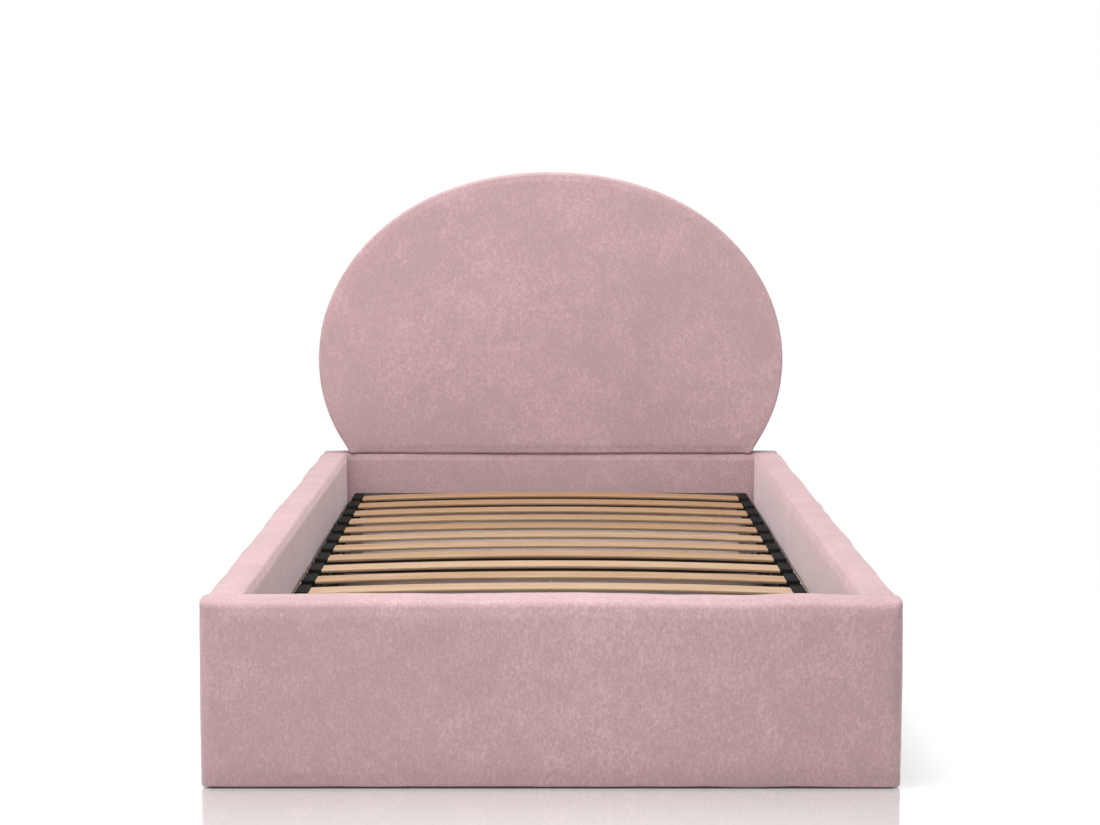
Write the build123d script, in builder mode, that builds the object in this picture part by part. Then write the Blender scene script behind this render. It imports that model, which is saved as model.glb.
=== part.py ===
from build123d import *
import os
from dataclasses import dataclass
from math import asin, atan2, ceil, cos, degrees, radians, sin

# Upholstered storage bed for one mattress: four padded panels form a box on low glides,
# a round headboard stands on the head rail, and a slatted steel base lies inside the box
# on a lift of two arms and a gas strut at each side.
# X runs across the bed, +Y to the head, +Z up. The origin is on the floor, under the
# middle of the whole bed. Lengths are millimetres and angles are degrees.

# Mattress and box
mattress_width = 1200
mattress_length = 2000
mattress_play = 5
side_thickness = 70
foot_thickness = 105
head_thickness = 75
rim_height = 362
glide_height = 6

# Padding of the panels
cover_thickness = 1.5
layer_gap = 0.3
inner_pad = 6
side_pad = 14
foot_pad = 20
top_pad = 22
end_pad = 14
skirt_margin = 2
face_crown = 4
top_crown = 2
side_edge_radius = 14
foot_edge_radius = 24
head_end_radius = 10
foot_end_radius = 18

# Boards and battens inside the panels
inner_board_thickness = 12
outer_board_thickness = 6
batten_height = 40
batten_width = 45
batten_pitch = 205
glue_line = 0.2

# Headboard
headboard_overhang = 11
headboard_centre_height = 633
headboard_upper_radius = 557
headboard_lower_radius = 530
headboard_corner_radius = 26
headboard_thickness = 80
headboard_dome = 8
headboard_edge_radius = 22
headboard_core_thickness = 22
headboard_edge_pad = 20
lining_thickness = 1

# Plates that join the headboard to the head rail, and the bolts
plate_width = 60
plate_thickness = 5
plate_place = 400
plate_low = 110
plate_high = 640
plate_corner = 8
plate_bolt_heights = (150, 290, 430, 590)
bolt_radius = 4
bolt_head_radius = 9
bolt_head_height = 5
bolt_bore_play = 0.3
plate_bolt_grip = 25

# Corner brackets of the box
bracket_leg = 50
bracket_thickness = 4
bracket_low = 40
bracket_high = 160
bracket_bolt_place = 32
bracket_bolt_heights = (70, 130)

# Bottom of the box, on thin battens
ledger_width = 20
bearer_width = 60
bearer_height = 12
bottom_board_thickness = 4
bottom_play = 1
rest_overlap = 5
rest_batten_height = 38
rest_batten_start = 900
rest_batten_foot_margin = 110
base_rest_gap = 0.3

# Glides
glide_radius = 14
glide_end_margin = 115
glide_pitch = 560

# Steel frame of the slatted base
base_side_play = 25
base_top = 244
base_head_play = 8
base_foot_play = 12
tube_width = 25
tube_height = 40
tube_wall = 1.5
tube_corner = 3

# Slats and their holders
slat_count = 14
slat_end_margin = 163.25
slat_width = 63
slat_thickness = 8
slat_rise = 13
holder_margin = 8
holder_width = 30
holder_end_wall = 6
holder_length = 85
holder_floor = 2
holder_wall = 4
holder_play = 0.3
holder_bevel = 1.5
holder_corner = 3
tongue_length = 20
tongue_width = 58

# Lift: places along the bed are measured from the head rail's inner face to the foot
lift_angle = 62
tilt_angle = 35
rear_arm_low = (500, 95)
rear_arm_high = (230, 165)
front_arm_high = (380, 165)
front_arm_low_height = 110
arm_width = 30
arm_thickness = 5
arm_gap = 3
pin_radius = 5
pin_play = 0.1
boss_radius = 9
rivet_radius = 8
rivet_height = 2.5
side_gap = 0.3
wall_plate_start = 130
wall_plate_end = 815
wall_plate_low = 55
wall_plate_high = 128
wall_plate_thickness = 3
wall_plate_flange = 20
wall_plate_screws = (190, 310, 430, 600, 720)
wall_plate_screw_height = 117
screw_radius = 2.4
screw_head_radius = 5
screw_head_height = 2.5
screw_length = 12
base_bracket_thickness = 4
base_bracket_margin = 25
base_bracket_drop = 18
base_bracket_top_margin = 6
base_bracket_corner = 10

# Gas struts
strut_low = (150, 75)
strut_share = 0.7
strut_setback = 21
strut_eye_radius = 10
strut_eye_width = 14
barrel_radius = 10
barrel_length = 240
barrel_floor = 25
rod_radius = 4
rod_play = 0.3
rod_start = 30

# Places worked out from the sizes
inner_width = mattress_width + 2 * mattress_play
inner_length = mattress_length + 2 * mattress_play
outer_width = inner_width + 2 * side_thickness
headboard_width = outer_width + 2 * headboard_overhang
back_hardware = layer_gap + plate_thickness + bolt_head_height
total_length = foot_thickness + inner_length + head_thickness + back_hardware
foot_face = foot_thickness - total_length / 2
head_face = foot_face + inner_length
middle_y = (foot_face + head_face) / 2
head_back = head_face + head_thickness
plate_back = head_back + layer_gap + plate_thickness
wall_face = inner_width / 2 + inner_pad
core_low = glide_height
core_high = rim_height - top_pad
base_bottom = base_top - tube_height
skirt_level = base_bottom + skirt_margin
base_half = inner_width / 2 - base_side_play
holder_outer_place = base_half - holder_margin
holder_inner_place = holder_outer_place - holder_width
slat_half_length = holder_outer_place - holder_end_wall
slat_pitch = (inner_length - 2 * slat_end_margin) / (slat_count - 1)
arm_place = base_half + base_bracket_thickness + arm_gap
strut_place = arm_place - strut_setback
rest_batten_width = inner_pad + base_side_play + rest_overlap
rest_batten_length = inner_length - rest_batten_start - rest_batten_foot_margin
overrun = inner_pad
sides = {"left": -1, "right": 1}

os.makedirs("parts", exist_ok=True)


def save(block, name):
    """Label a finished piece and write it to its own file."""
    block.part.label = name
    export_step(block.part, f"parts/{name}.step")


def cross_plane(y):
    """A plane across the bed, seen from the foot: X to the right, Z up, facing the foot."""
    return Plane(origin=(0, y, 0), x_dir=(1, 0, 0), z_dir=(0, -1, 0))


def side_plane(x):
    """A plane along the bed: Y to the right, Z up, facing +X."""
    return Plane(origin=(x, 0, 0), x_dir=(0, 1, 0), z_dir=(1, 0, 0))


def pegs(plane, points, radius, amount):
    """Round pegs on a plane, for pins, shanks and the bores that take them."""
    with BuildPart() as group:
        with BuildSketch(plane):
            with Locations(points):
                Circle(radius)
        extrude(amount=amount)
    return group.part


@dataclass
class Panel:
    """One padded panel: its section plane has X outward, Y up and Z along the panel."""

    name: str
    origin: tuple
    outward: tuple
    along: tuple
    half_length: float
    thickness: float
    pad: float
    edge_radius: float
    end_radius: float

    @property
    def section(self):
        return Plane(origin=self.origin, x_dir=self.outward, z_dir=self.along)

    @property
    def core_half(self):
        return self.half_length - (end_pad if self.end_radius else 0)

    @property
    def core_back(self):
        return self.thickness - self.pad

    def face(self, depth):
        """The plane at a depth behind the inner face, with Y up and Z outward."""
        start = Vector(self.origin) + Vector(self.outward) * depth
        return Plane(origin=start, x_dir=-Vector(self.along), z_dir=self.outward)


panels = [
    Panel("foot", (0, foot_face, 0), (0, -1, 0), (-1, 0, 0), outer_width / 2,
          foot_thickness, foot_pad, foot_edge_radius, foot_end_radius),
    Panel("head", (0, head_face, 0), (0, 1, 0), (1, 0, 0), outer_width / 2,
          head_thickness, side_pad, side_edge_radius, head_end_radius),
    Panel("left", (-inner_width / 2, middle_y, 0), (-1, 0, 0), (0, 1, 0), inner_length / 2 - side_gap,
          side_thickness, side_pad, side_edge_radius, 0),
    Panel("right", (inner_width / 2, middle_y, 0), (1, 0, 0), (0, -1, 0), inner_length / 2 - side_gap,
          side_thickness, side_pad, side_edge_radius, 0),
]

# Every bolt and screw of the box: a plane, the points on it, the way in, and the grip
bracket_bolts = []
for side in sides.values():
    for face, way in ((foot_face, 1), (head_face, -1)):
        wall_points = [(face + way * (bracket_bolt_place - inner_pad), z) for z in bracket_bolt_heights]
        bracket_bolts.append((side_plane(side * (wall_face - bracket_thickness)), wall_points, side))
        end_points = [(side * (wall_face - bracket_bolt_place), z) for z in bracket_bolt_heights]
        end_plane = cross_plane(face - way * (inner_pad - bracket_thickness))
        bracket_bolts.append((end_plane, end_points, way))
bracket_bolt_grip = bracket_thickness + inner_board_thickness
plate_bolt_plane = cross_plane(plate_back)
plate_bolt_points = [(side * plate_place, z) for side in sides.values() for z in plate_bolt_heights]
wall_screw_points = [(head_face - s, wall_plate_screw_height) for s in wall_plate_screws]


def bracket_bores():
    """The bores that the bolts of the corner brackets go through."""
    return [pegs(plane, points, bolt_radius + bolt_bore_play, way * (bracket_bolt_grip + overrun))
            for plane, points, way in bracket_bolts]


def plate_bores():
    """The bores that the bolts of the headboard plates go through."""
    return pegs(plate_bolt_plane, plate_bolt_points, bolt_radius + bolt_bore_play,
                plate_bolt_grip + bolt_bore_play)


def wall_screw_bores(side):
    """The bores of the screws that hold one wall plate."""
    start = side * (wall_face - wall_plate_thickness)
    return pegs(side_plane(start), wall_screw_points, screw_radius + bolt_bore_play,
                side * (screw_length + bolt_bore_play))


def padded_form(panel, inset):
    """The rounded, crowned outer shape of a panel, or the same shape inset from all its faces."""
    inner = inset
    outer = panel.thickness - inset
    top = rim_height - inset
    half = panel.half_length - (inset if panel.end_radius else 0)
    with BuildPart() as form:
        with BuildSketch(panel.section):
            with BuildLine():
                Line((inner, core_low), (inner, top - top_crown))
                ThreePointArc((inner, top - top_crown), ((inner + outer) / 2, top),
                              (outer - face_crown, top - top_crown))
                ThreePointArc((outer - face_crown, top - top_crown), (outer, (core_low + top) / 2),
                              (outer - face_crown, core_low))
                Line((outer - face_crown, core_low), (inner, core_low))
            make_face()
            fillet(vertices().sort_by(Axis.Y)[-2:], radius=panel.edge_radius - inset)
        extrude(amount=half, both=True)
        if panel.end_radius:
            ends = faces().sort_by(Axis(panel.origin, panel.along))
            rims = ends[0].edges() + ends[-1].edges()
            fillet([edge for edge in rims if edge.center().Z > core_low + layer_gap],
                   radius=panel.end_radius - inset)
    return form.part


def core_space(panel):
    """The space of the boards and battens of a panel, open at the bottom, with room round them."""
    with BuildPart() as space:
        with BuildSketch(panel.face(inner_pad - layer_gap)):
            with Locations((0, (core_high + layer_gap) / 2)):
                Rectangle(2 * (panel.core_half + layer_gap), core_high + layer_gap)
        extrude(amount=panel.core_back - inner_pad + 2 * layer_gap)
    return space.part


def bare_window(panel):
    """What the padding leaves bare on the inner face, below the slatted base."""
    half = wall_face + layer_gap if panel.end_radius else panel.half_length + overrun
    with BuildPart() as window:
        with BuildSketch(panel.face(-overrun)):
            with Locations((0, skirt_level / 2)):
                Rectangle(2 * half, skirt_level)
        extrude(amount=overrun + inner_pad)
    return window.part


def make_panel(panel):
    """Inner board, timber frame, foam and cover of one padded panel."""
    bores = list(bracket_bores())
    if panel.name in sides:
        bores.append(wall_screw_bores(sides[panel.name]))
    core_height = core_high - core_low
    core_middle = (core_high + core_low) / 2

    with BuildPart() as inner_board:
        with BuildSketch(panel.face(inner_pad)):
            with Locations((0, core_middle)):
                Rectangle(2 * panel.core_half, core_height)
        extrude(amount=inner_board_thickness)
        for bore in bores:
            add(bore, mode=Mode.SUBTRACT)
    save(inner_board, f"{panel.name}_inner_board")

    batten_start = inner_pad + inner_board_thickness + glue_line
    batten_end = panel.core_back - outer_board_thickness - glue_line
    rail_step = (core_height - batten_height) / 2
    upright_height = rail_step - batten_height - 2 * glue_line
    upright_count = ceil(2 * panel.core_half / batten_pitch)
    upright_pitch = (2 * panel.core_half - batten_width) / (upright_count - 1)
    with BuildPart() as timber_frame:
        with BuildSketch(panel.face(batten_start)):
            with Locations((0, core_middle)):
                with GridLocations(0, rail_step, 1, 3):
                    Rectangle(2 * panel.core_half, batten_height)
                with GridLocations(upright_pitch, rail_step, upright_count, 2):
                    Rectangle(batten_width, upright_height)
        extrude(amount=batten_end - batten_start)
        with BuildSketch(panel.face(panel.core_back - outer_board_thickness)):
            with Locations((0, core_middle)):
                Rectangle(2 * panel.core_half, core_height)
        extrude(amount=outer_board_thickness)
        if panel.name == "head":
            add(plate_bores(), mode=Mode.SUBTRACT)
    save(timber_frame, f"{panel.name}_timber_frame")

    with BuildPart() as foam:
        add(padded_form(panel, cover_thickness + layer_gap))
        add(core_space(panel), mode=Mode.SUBTRACT)
        add(bare_window(panel), mode=Mode.SUBTRACT)
        if panel.name == "head":
            add(plate_bores(), mode=Mode.SUBTRACT)
    save(foam, f"{panel.name}_foam")

    with BuildPart() as cover:
        add(padded_form(panel, 0))
        add(padded_form(panel, cover_thickness), mode=Mode.SUBTRACT)
        add(bare_window(panel), mode=Mode.SUBTRACT)
        if panel.name == "head":
            add(plate_bores(), mode=Mode.SUBTRACT)
    save(cover, f"{panel.name}_cover")


for panel in panels:
    make_panel(panel)


# Headboard: an ellipse cut off flat where it stands on the head rail
headboard_low = rim_height + layer_gap
headboard_front = head_back - headboard_thickness
headboard_half = headboard_width / 2
dome_radius = headboard_half ** 2 / (2 * headboard_dome)


def headboard_outline(inset, depth, length):
    """The headboard's outline, inset all round, extruded from a depth towards the foot."""
    half = headboard_half - inset
    upper = headboard_upper_radius - inset
    lower = headboard_lower_radius - inset
    drop = headboard_centre_height - headboard_low - inset
    cut = degrees(asin(drop / lower))
    centre = (0, headboard_centre_height)
    with BuildPart() as outline:
        with BuildSketch(cross_plane(depth)):
            with BuildLine():
                EllipticalCenterArc(centre, half, upper, start_angle=0, arc_size=180)
                left = EllipticalCenterArc(centre, half, lower, start_angle=180, arc_size=cut)
                right = EllipticalCenterArc(centre, half, lower, start_angle=-cut, arc_size=cut)
                Line(left @ 1, right @ 0)
            make_face()
            fillet(vertices().sort_by(Axis.Y)[:2], radius=headboard_corner_radius - inset)
        extrude(amount=length)
    return outline.part


def headboard_form(inset):
    """The domed and rounded shape of the headboard, or the same shape inset, open at the back."""
    with BuildPart() as form:
        add(headboard_outline(inset, head_back, headboard_thickness))
        with Locations((0, headboard_front + inset + dome_radius, headboard_centre_height)):
            Sphere(dome_radius, mode=Mode.INTERSECT)
        front = faces().sort_by(Axis.Y)[0]
        fillet(front.edges(), radius=headboard_edge_radius - inset)
    return form.part


core_inset = headboard_edge_pad
core_front = head_back - lining_thickness - layer_gap - headboard_core_thickness

with BuildPart() as headboard_core:
    add(headboard_outline(core_inset, core_front + headboard_core_thickness, headboard_core_thickness))
    add(plate_bores(), mode=Mode.SUBTRACT)
save(headboard_core, "headboard_core")

with BuildPart() as headboard_foam:
    add(headboard_form(cover_thickness + layer_gap))
    add(headboard_outline(core_inset - layer_gap, head_back, head_back - core_front + layer_gap),
        mode=Mode.SUBTRACT)
save(headboard_foam, "headboard_foam")

with BuildPart() as headboard_cover:
    add(headboard_form(0))
    add(headboard_form(cover_thickness), mode=Mode.SUBTRACT)
save(headboard_cover, "headboard_cover")

with BuildPart() as headboard_lining:
    add(headboard_outline(core_inset, head_back, lining_thickness))
    add(plate_bores(), mode=Mode.SUBTRACT)
save(headboard_lining, "headboard_lining")

with BuildPart() as headboard_plates:
    with BuildSketch(cross_plane(plate_back)):
        with Locations([(side * plate_place, (plate_low + plate_high) / 2) for side in sides.values()]):
            RectangleRounded(plate_width, plate_high - plate_low, plate_corner)
        with Locations(plate_bolt_points):
            Circle(bolt_radius + bolt_bore_play, mode=Mode.SUBTRACT)
    extrude(amount=plate_thickness)
save(headboard_plates, "headboard_plates")


# Bolts of the plates and the brackets, each a round head and a shank
with BuildPart() as frame_bolts:
    groups = [(plane, points, way, bracket_bolt_grip) for plane, points, way in bracket_bolts]
    groups.append((plate_bolt_plane, plate_bolt_points, 1, plate_bolt_grip))
    for plane, points, way, grip in groups:
        add(pegs(plane, points, bolt_head_radius, -way * bolt_head_height))
        add(pegs(plane, points, bolt_radius, way * grip))
save(frame_bolts, "frame_bolts")

with BuildPart() as corner_brackets:
    with BuildSketch(Plane.XY.offset(bracket_low)):
        for side in sides.values():
            for face, way in ((foot_face - inner_pad, 1), (head_face + inner_pad, -1)):
                corner = Vector(side * wall_face, face)
                with Locations(corner + Vector(-side * bracket_leg / 2, way * bracket_thickness / 2)):
                    Rectangle(bracket_leg, bracket_thickness)
                with Locations(corner + Vector(-side * bracket_thickness / 2, way * bracket_leg / 2)):
                    Rectangle(bracket_thickness, bracket_leg)
    extrude(amount=bracket_high - bracket_low)
    for bore in bracket_bores():
        add(bore, mode=Mode.SUBTRACT)
save(corner_brackets, "corner_brackets")


# Bottom: two thin boards on a batten along each wall and one in the middle
box_half_length = inner_length / 2 + inner_pad
board_half_length = box_half_length - bottom_play
board_low = glide_height + bearer_height + layer_gap
board_edge = wall_face - bottom_play

with BuildPart() as box_battens:
    with BuildSketch(Plane.XY.offset(glide_height)):
        with Locations((0, middle_y)):
            Rectangle(bearer_width, 2 * board_half_length)
        with Locations([(side * (wall_face - ledger_width / 2), middle_y) for side in sides.values()]):
            Rectangle(ledger_width, 2 * board_half_length)
    extrude(amount=bearer_height)
    with BuildSketch(Plane.XY.offset(base_bottom - base_rest_gap - rest_batten_height)):
        rest_y = head_face - rest_batten_start - rest_batten_length / 2
        with Locations([(side * (wall_face - rest_batten_width / 2), rest_y) for side in sides.values()]):
            Rectangle(rest_batten_width, rest_batten_length)
    extrude(amount=rest_batten_height)
save(box_battens, "box_battens")

with BuildPart() as bottom_boards:
    with BuildSketch(Plane.XY.offset(board_low)):
        with Locations([(side * (board_edge + bottom_play) / 2, middle_y) for side in sides.values()]):
            Rectangle(board_edge - bottom_play, 2 * board_half_length)
    extrude(amount=bottom_board_thickness)
save(bottom_boards, "bottom_boards")

with BuildPart() as glides:
    panel_half = inner_width / 2 + side_thickness / 2
    foot_row = foot_face - foot_thickness / 2
    head_row = head_face + head_thickness / 2
    glide_place = outer_width / 2 - glide_end_margin
    across = [(side * glide_place, row) for side in (-1, 0, 1) for row in (foot_row, head_row)]
    along = [(side * panel_half, middle_y + step * glide_pitch)
             for side in sides.values() for step in (-1, 1)]
    centre = [(0, middle_y + step * glide_pitch) for step in (-1, 0, 1)]
    with BuildSketch(Plane.XY):
        with Locations(across + along + centre):
            Circle(glide_radius)
    extrude(amount=glide_height)
save(glides, "glides")


# Steel frame of the base: two side tubes, and three cross tubes between them
base_head = head_face - base_head_play
base_foot = foot_face + base_foot_play
tube_middle = base_top - tube_height / 2
side_tube_place = base_half - tube_width / 2
cross_half = base_half - tube_width


def tube(plane, centre, amount, both=False):
    """A rectangular steel tube with round corners, from a plane."""
    with BuildPart() as bar:
        with BuildSketch(plane):
            with Locations(centre):
                RectangleRounded(tube_width, tube_height, tube_corner)
                RectangleRounded(tube_width - 2 * tube_wall, tube_height - 2 * tube_wall,
                                 tube_corner - tube_wall, mode=Mode.SUBTRACT)
        extrude(amount=amount, both=both)
    return bar


for name, side in sides.items():
    save(tube(cross_plane(base_head), (side * side_tube_place, tube_middle), base_head - base_foot),
         f"base_tube_{name}")

cross_places = {
    "head": base_head - tube_width / 2,
    "middle": (base_head + base_foot) / 2,
    "foot": base_foot + tube_width / 2,
}
for name, place in cross_places.items():
    save(tube(side_plane(0), (place, tube_middle), cross_half, both=True), f"base_tube_{name}")


# Slats, bent upwards, in a holder at each end
slat_low = base_top + holder_floor + holder_play
slat_places = [middle_y + slat_pitch * ((slat_count - 1) / 2 - index) for index in range(slat_count)]


def slat_block(y, play):
    """One bent slat, or the pocket that takes it, larger by a play all round."""
    low = slat_low - play
    high = slat_low + slat_thickness + play
    half = slat_half_length + play
    with BuildPart() as block:
        with BuildSketch(cross_plane(y)):
            with BuildLine():
                ThreePointArc((-half, low), (0, low + slat_rise), (half, low))
                Line((half, low), (half, high))
                ThreePointArc((half, high), (0, high + slat_rise), (-half, high))
                Line((-half, high), (-half, low))
            make_face()
        extrude(amount=slat_width / 2 + play, both=True)
    return block


for index, y in enumerate(slat_places, start=1):
    save(slat_block(y, 0), f"slat_{index:02d}")

holder_height = holder_floor + 2 * holder_play + slat_thickness + holder_wall
for name, side in sides.items():
    holder_x = side * (holder_inner_place + holder_outer_place) / 2
    tongue_x = side * (holder_inner_place - tongue_length / 2 + holder_corner)
    with BuildPart() as slat_holders:
        with BuildSketch(Plane.XY.offset(base_top)):
            with Locations([(holder_x, y) for y in slat_places]):
                RectangleRounded(holder_outer_place - holder_inner_place, holder_length, holder_corner)
        extrude(amount=holder_height)
        chamfer(faces().group_by(Axis.Z)[-1].edges(), length=holder_bevel)
        with BuildSketch(Plane.XY.offset(base_top)):
            with Locations([(tongue_x, y) for y in slat_places]):
                Rectangle(tongue_length, tongue_width)
        extrude(amount=holder_floor)
        for y in slat_places:
            add(slat_block(y, holder_play).part, mode=Mode.SUBTRACT)
    save(slat_holders, f"slat_holders_{name}")


# Lift. On the bed's side plane, a place is (Y, Z); lift places run from the head to the foot.
def on_side(place):
    """A lift place as a point of the side plane."""
    return Vector(head_face - place[0], place[1])


def angle_of(vector):
    """The direction of a vector of the side plane."""
    return degrees(atan2(vector.Y, vector.X))


def turned(vector, angle):
    """A vector of the side plane turned by an angle, positive from the head upwards."""
    a = radians(angle)
    return Vector(vector.X * cos(a) - vector.Y * sin(a), vector.X * sin(a) + vector.Y * cos(a))


rear_low = on_side(rear_arm_low)
rear_high = on_side(rear_arm_high)
front_high = on_side(front_arm_high)
rear_high_open = rear_low + turned(rear_high - rear_low, lift_angle)
front_high_open = rear_high_open + turned(front_high - rear_high, -tilt_angle)

# The front arm's lower pivot is as far from its upper pivot when the bed is open as when it is shut
halfway = (front_high + front_high_open) * 0.5
chord = front_high_open - front_high
reach = (front_arm_low_height - halfway.Y) / chord.X
front_low = Vector(halfway.X - chord.Y * reach, front_arm_low_height)

strut_foot = on_side(strut_low)
strut_top = front_low + (front_high - front_low) * strut_share
strut_vector = strut_top - strut_foot
strut_rest = strut_vector.length

plate_face = wall_face - wall_plate_thickness
bracket_face = base_half + base_bracket_thickness
arm_outer = arm_place + arm_thickness


def bar(side, start, end):
    """A flat steel bar with round ends, from one pivot to the other."""
    vector = end - start
    middle = (start + end) * 0.5
    with BuildPart() as flat:
        with BuildSketch(side_plane(side * arm_place)):
            with Locations(middle):
                SlotCenterToCenter(vector.length, arm_width, rotation=angle_of(vector))
        extrude(amount=side * arm_thickness)
    return flat.part


def disc(side, centre, radius, start, end):
    """A round boss, pin or rivet head between two distances from the bed's middle."""
    return pegs(side_plane(side * start), [centre], radius, side * (end - start))


for name, side in sides.items():
    # Wall plate: an angle on the wall with two pivot bores and the strut's stud
    with BuildPart() as wall_plate:
        with BuildSketch(side_plane(side * plate_face)):
            plate_y = head_face - (wall_plate_start + wall_plate_end) / 2
            with Locations((plate_y, (wall_plate_low + wall_plate_high) / 2)):
                Rectangle(wall_plate_end - wall_plate_start, wall_plate_high - wall_plate_low)
            with Locations(rear_low, front_low):
                Circle(pin_radius + pin_play, mode=Mode.SUBTRACT)
            with Locations(wall_screw_points):
                Circle(screw_radius + bolt_bore_play, mode=Mode.SUBTRACT)
        extrude(amount=side * wall_plate_thickness)
        with BuildSketch(side_plane(side * plate_face)):
            with Locations((plate_y, wall_plate_low + wall_plate_thickness / 2)):
                Rectangle(wall_plate_end - wall_plate_start, wall_plate_thickness)
        extrude(amount=-side * wall_plate_flange)
        eye_outer = strut_place + strut_eye_width / 2
        eye_inner = strut_place - strut_eye_width / 2
        add(disc(side, strut_foot, rivet_radius, plate_face, eye_outer + side_gap))
        add(disc(side, strut_foot, pin_radius, plate_face, eye_inner - side_gap))
        add(disc(side, strut_foot, rivet_radius, eye_inner - side_gap,
                 eye_inner - side_gap - rivet_height))
    save(wall_plate, f"lift_wall_plate_{name}")

    # Rear arm: pins in the wall plate and in the base bracket
    with BuildPart() as rear_arm:
        add(bar(side, rear_low, rear_high))
        add(disc(side, rear_low, boss_radius, arm_outer, plate_face - side_gap))
        add(disc(side, rear_low, pin_radius, arm_outer, wall_face - side_gap))
        add(disc(side, rear_low, rivet_radius, arm_place, arm_place - rivet_height))
        add(disc(side, rear_high, boss_radius, arm_place, bracket_face + side_gap))
        add(disc(side, rear_high, pin_radius, arm_place, base_half - side_gap))
        add(disc(side, rear_high, rivet_radius, base_half - side_gap,
                 base_half - side_gap - rivet_height))
        add(disc(side, rear_high, rivet_radius, arm_outer, arm_outer + rivet_height))
    save(rear_arm, f"rear_arm_{name}")

    # Front arm: a pin in the wall plate, and a boss that ends just short of the base bracket
    with BuildPart() as front_arm:
        add(bar(side, front_low, front_high))
        add(disc(side, front_low, boss_radius, arm_outer, plate_face - side_gap))
        add(disc(side, front_low, pin_radius, arm_outer, wall_face - side_gap))
        add(disc(side, front_low, rivet_radius, arm_place, arm_place - rivet_height))
        add(disc(side, front_high, boss_radius, arm_place, bracket_face + side_gap))
        add(disc(side, front_high, rivet_radius, arm_outer, arm_outer + rivet_height))
    save(front_arm, f"front_arm_{name}")

    # Base bracket: a plate on the side tube that hangs below it to the upper pivots
    bracket_top = base_top - base_bracket_top_margin
    bracket_bottom = rear_high.Y - base_bracket_drop
    with BuildPart() as base_bracket:
        with BuildSketch(side_plane(side * base_half)):
            with Locations(((rear_high.X + front_high.X) / 2, (bracket_top + bracket_bottom) / 2)):
                RectangleRounded(rear_high.X - front_high.X + 2 * base_bracket_margin,
                                 bracket_top - bracket_bottom, base_bracket_corner)
            with Locations(rear_high):
                Circle(pin_radius + pin_play, mode=Mode.SUBTRACT)
        extrude(amount=side * base_bracket_thickness)
        add(disc(side, front_high, rivet_radius, base_half, base_half - rivet_height))
    save(base_bracket, f"base_bracket_{name}")

    # Gas strut: the barrel turns on the wall plate's stud, and the rod slides in the barrel
    along_strut = Vector(0, strut_vector.X, strut_vector.Y).normalized()

    def on_strut(distance):
        """A plane square to the strut, at a distance from its lower eye."""
        foot_point = Vector(side * strut_place, strut_foot.X, strut_foot.Y)
        return Plane(origin=foot_point + along_strut * distance, x_dir=(1, 0, 0), z_dir=along_strut)

    with BuildPart() as strut_barrel:
        with BuildSketch(on_strut(0)):
            Circle(barrel_radius)
        extrude(amount=barrel_length)
        with BuildSketch(on_strut(barrel_floor)):
            Circle(rod_radius + rod_play)
        extrude(amount=barrel_length - barrel_floor, mode=Mode.SUBTRACT)
        add(disc(side, strut_foot, 2 * strut_eye_radius, eye_outer, eye_outer + strut_eye_width),
            mode=Mode.SUBTRACT)
        add(disc(side, strut_foot, 2 * strut_eye_radius, eye_inner, eye_inner - strut_eye_width),
            mode=Mode.SUBTRACT)
        add(disc(side, strut_foot, strut_eye_radius, eye_inner, eye_outer))
        add(disc(side, strut_foot, pin_radius + pin_play, eye_inner, eye_outer), mode=Mode.SUBTRACT)
    save(strut_barrel, f"strut_barrel_{name}")

    with BuildPart() as strut_rod:
        with BuildSketch(on_strut(rod_start)):
            Circle(rod_radius)
        extrude(amount=strut_rest - rod_start)
        add(disc(side, strut_top, strut_eye_radius, eye_inner, eye_outer))
        add(disc(side, strut_top, pin_radius, eye_outer, arm_place - side_gap))
    save(strut_rod, f"strut_rod_{name}")

with BuildPart() as wall_screws:
    for side in sides.values():
        plane = side_plane(side * plate_face)
        add(pegs(plane, wall_screw_points, screw_head_radius, -side * screw_head_height))
        add(pegs(plane, wall_screw_points, screw_radius, side * screw_length))
save(wall_screws, "wall_screws")

# How far the other pieces of the lift go while the rear arms turn by lift_angle
front_turn = angle_of(front_high_open - front_low) - angle_of(front_high - front_low)
strut_top_open = front_low + (front_high_open - front_low) * strut_share
strut_turn = angle_of(strut_top_open - strut_foot) - angle_of(strut_vector)
strut_stroke = (strut_top_open - strut_foot).length - strut_rest
print("rear arm pivots (Y, Z):", rear_low, rear_high)
print("front arm pivots (Y, Z):", front_low, front_high, "turn:", front_turn)
print("strut ends (Y, Z):", strut_foot, strut_top, "turn:", strut_turn, "stroke:", strut_stroke)
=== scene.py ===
import math

import bmesh
import bpy
import numpy as np
from bpy.props import FloatProperty, FloatVectorProperty, IntProperty, PointerProperty
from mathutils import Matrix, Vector, noise
from mathutils.bvhtree import BVHTree


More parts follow.
